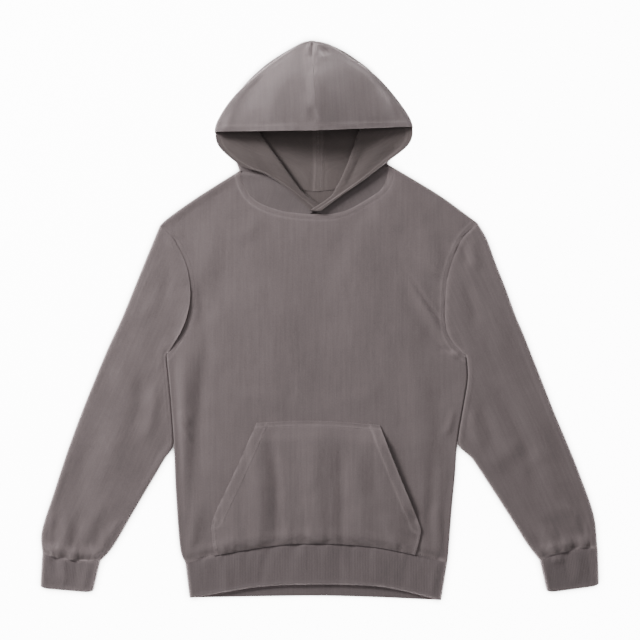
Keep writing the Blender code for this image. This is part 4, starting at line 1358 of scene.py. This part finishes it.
def rib(settings):
    """The ribbed knit of the band and cuffs."""
    return material("washed rib", cloth_material, tuple(settings.rib_colour), 1.0)


def hood_fleece(settings):
    """The outer face of the hood."""
    return material("washed hood fleece", cloth_material, tuple(settings.hood_colour))


def fleece_inside_with_painted_shade(settings):
    """The brushed inner face of the fleece, darker than its outer face: partly its own tone, partly painted
    shade for the shaded hollow of the hood and the back neck inside it.
    """
    return material("fleece inside with painted shade", cloth_material, tuple(settings.inside_colour_with_painted_shade))


def settle(piece, replaced):
    """Ties a finished cloth piece to the root body and hides the part that it stands for."""
    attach(piece, "root")
    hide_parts(replaced)


class HOODIE_OT_back(bpy.types.Operator):
    """Build the back panel"""

    bl_idname = "hoodie.back"
    bl_label = "Back Panel"

    def execute(self, context):
        settings = context.scene.hoodie
        piece = make_back(settings, fleece(settings), fleece_inside_with_painted_shade(settings))
        settle(piece, "back")
        return {"FINISHED"}


class HOODIE_OT_front(bpy.types.Operator):
    """Build the front panel"""

    bl_idname = "hoodie.front"
    bl_label = "Front Panel"

    def execute(self, context):
        settings = context.scene.hoodie
        piece = make_front(settings, fleece(settings))
        settle(piece, "front")
        return {"FINISHED"}


class HOODIE_OT_pocket(bpy.types.Operator):
    """Build the kangaroo pocket"""

    bl_idname = "hoodie.pocket"
    bl_label = "Kangaroo Pocket"

    def execute(self, context):
        settings = context.scene.hoodie
        piece = make_pocket(settings, fleece(settings))
        settle(piece, "pocket")
        return {"FINISHED"}


class HOODIE_OT_sleeves(bpy.types.Operator):
    """Build both sleeves"""

    bl_idname = "hoodie.sleeves"
    bl_label = "Sleeves"

    def execute(self, context):
        settings = context.scene.hoodie
        for side in ("left", "right"):
            piece = make_sleeve(side, settings, fleece(settings))
            settle(piece, "sleeve_" + side)
        return {"FINISHED"}


class HOODIE_OT_cuffs(bpy.types.Operator):
    """Build both cuffs"""

    bl_idname = "hoodie.cuffs"
    bl_label = "Cuffs"

    def execute(self, context):
        settings = context.scene.hoodie
        for side, area in (("left", 0.0090), ("right", 0.0107)):
            piece = make_cuff(side, settings, rib(settings))
            settle(piece, "cuff_" + side)
        return {"FINISHED"}


class HOODIE_OT_band(bpy.types.Operator):
    """Build the hem band"""

    bl_idname = "hoodie.band"
    bl_label = "Hem Band"

    def execute(self, context):
        settings = context.scene.hoodie
        piece = make_band(settings, rib(settings))
        settle(piece, "hem_band")
        return {"FINISHED"}


class HOODIE_OT_hood(bpy.types.Operator):
    """Build both hood halves"""

    bl_idname = "hoodie.hood"
    bl_label = "Hood"

    def execute(self, context):
        settings = context.scene.hoodie
        for side in ("left", "right"):
            piece = make_hood_half(side, settings, hood_fleece(settings), fleece_inside_with_painted_shade(settings))
            settle(piece, "hood_" + side)
        return {"FINISHED"}


class HOODIE_OT_stitching(bpy.types.Operator):
    """Build the topstitching along the seams"""

    bl_idname = "hoodie.stitching"
    bl_label = "Topstitching"

    def execute(self, context):
        settings = context.scene.hoodie
        points, faces = stitch_mesh(stitch_lines(settings), settings)
        thread = material("thread", plain_material, tuple(settings.thread_colour))
        piece = mesh_object("topstitching", points, faces, thread)
        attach(piece, "root")
        return {"FINISHED"}


class HOODIE_OT_stage(bpy.types.Operator):
    """Build the floor, lights and camera"""

    bl_idname = "hoodie.stage"
    bl_label = "Stage"

    def execute(self, context):
        settings = context.scene.hoodie
        half = FLOOR_HALF
        corners = np.array([(-half, -half, 0), (half, -half, 0), (half, half, 0), (-half, half, 0)])
        corners[:, 2] = -FLOOR_DROP
        white = material("floor", plain_material, tuple(settings.floor_colour), FLOOR_GLOW)
        floor = mesh_object("floor", corners, np.array([[0, 1, 2, 3]]), white)
        for name, place, size, power in LIGHTS:
            lamp = bpy.data.lights.new(name, "AREA")
            lamp.shape = "SQUARE"
            lamp.size = size
            lamp.energy = power
            obj = bpy.data.objects.new(name, lamp)
            obj.location = place
            away = np.array(place)
            obj.rotation_euler = (
                np.arctan2(np.hypot(away[0], away[1]), away[2]), 0, np.arctan2(away[1], away[0]) + np.pi / 2
            )
            context.scene.collection.objects.link(obj)
        world = context.scene.world or bpy.data.worlds.new("studio")
        context.scene.world = world
        world.use_nodes = True
        sky = world.node_tree.nodes["Background"]
        sky.inputs["Color"].default_value = (1, 1, 1, 1)
        sky.inputs["Strength"].default_value = SKY_STRENGTH
        lens = bpy.data.cameras.new("camera")
        lens.lens = LENS
        camera = bpy.data.objects.new("camera", lens)
        camera.location = (0, 0, FRAMED / FILM * LENS)
        context.scene.collection.objects.link(camera)
        context.scene.camera = camera
        return {"FINISHED"}


STEPS = (
    HOODIE_OT_back, HOODIE_OT_front, HOODIE_OT_pocket, HOODIE_OT_sleeves, HOODIE_OT_cuffs,
    HOODIE_OT_band, HOODIE_OT_hood, HOODIE_OT_stitching, HOODIE_OT_stage,
)


class HOODIE_PT_panel(bpy.types.Panel):
    """Sizes, colours and pieces of the hoodie"""

    bl_idname = "HOODIE_PT_panel"
    bl_label = "Hoodie"
    bl_space_type = "VIEW_3D"
    bl_region_type = "UI"
    bl_category = "Hoodie"

    def draw(self, context):
        settings = context.scene.hoodie
        for name in HoodieSettings.__annotations__:
            self.layout.prop(settings, name)
        for step in STEPS:
            self.layout.operator(step.bl_idname)


CLASSES = (HoodieSettings, *STEPS, HOODIE_PT_panel)


def register():
    """Adds the settings, operators and panel to Blender."""
    for made in CLASSES:
        bpy.utils.register_class(made)
    bpy.types.Scene.hoodie = bpy.props.PointerProperty(type=HoodieSettings)


def unregister():
    """Takes them out again."""
    del bpy.types.Scene.hoodie
    for made in reversed(CLASSES):
        bpy.utils.unregister_class(made)


def main():
    """Builds every piece and the stage."""
    register()
    bpy.ops.hoodie.back()
    bpy.ops.hoodie.front()
    bpy.ops.hoodie.pocket()
    bpy.ops.hoodie.sleeves()
    bpy.ops.hoodie.cuffs()
    bpy.ops.hoodie.band()
    bpy.ops.hoodie.hood()
    bpy.ops.hoodie.stitching()
    bpy.ops.hoodie.stage()


if __name__ == "__main__":
    main()
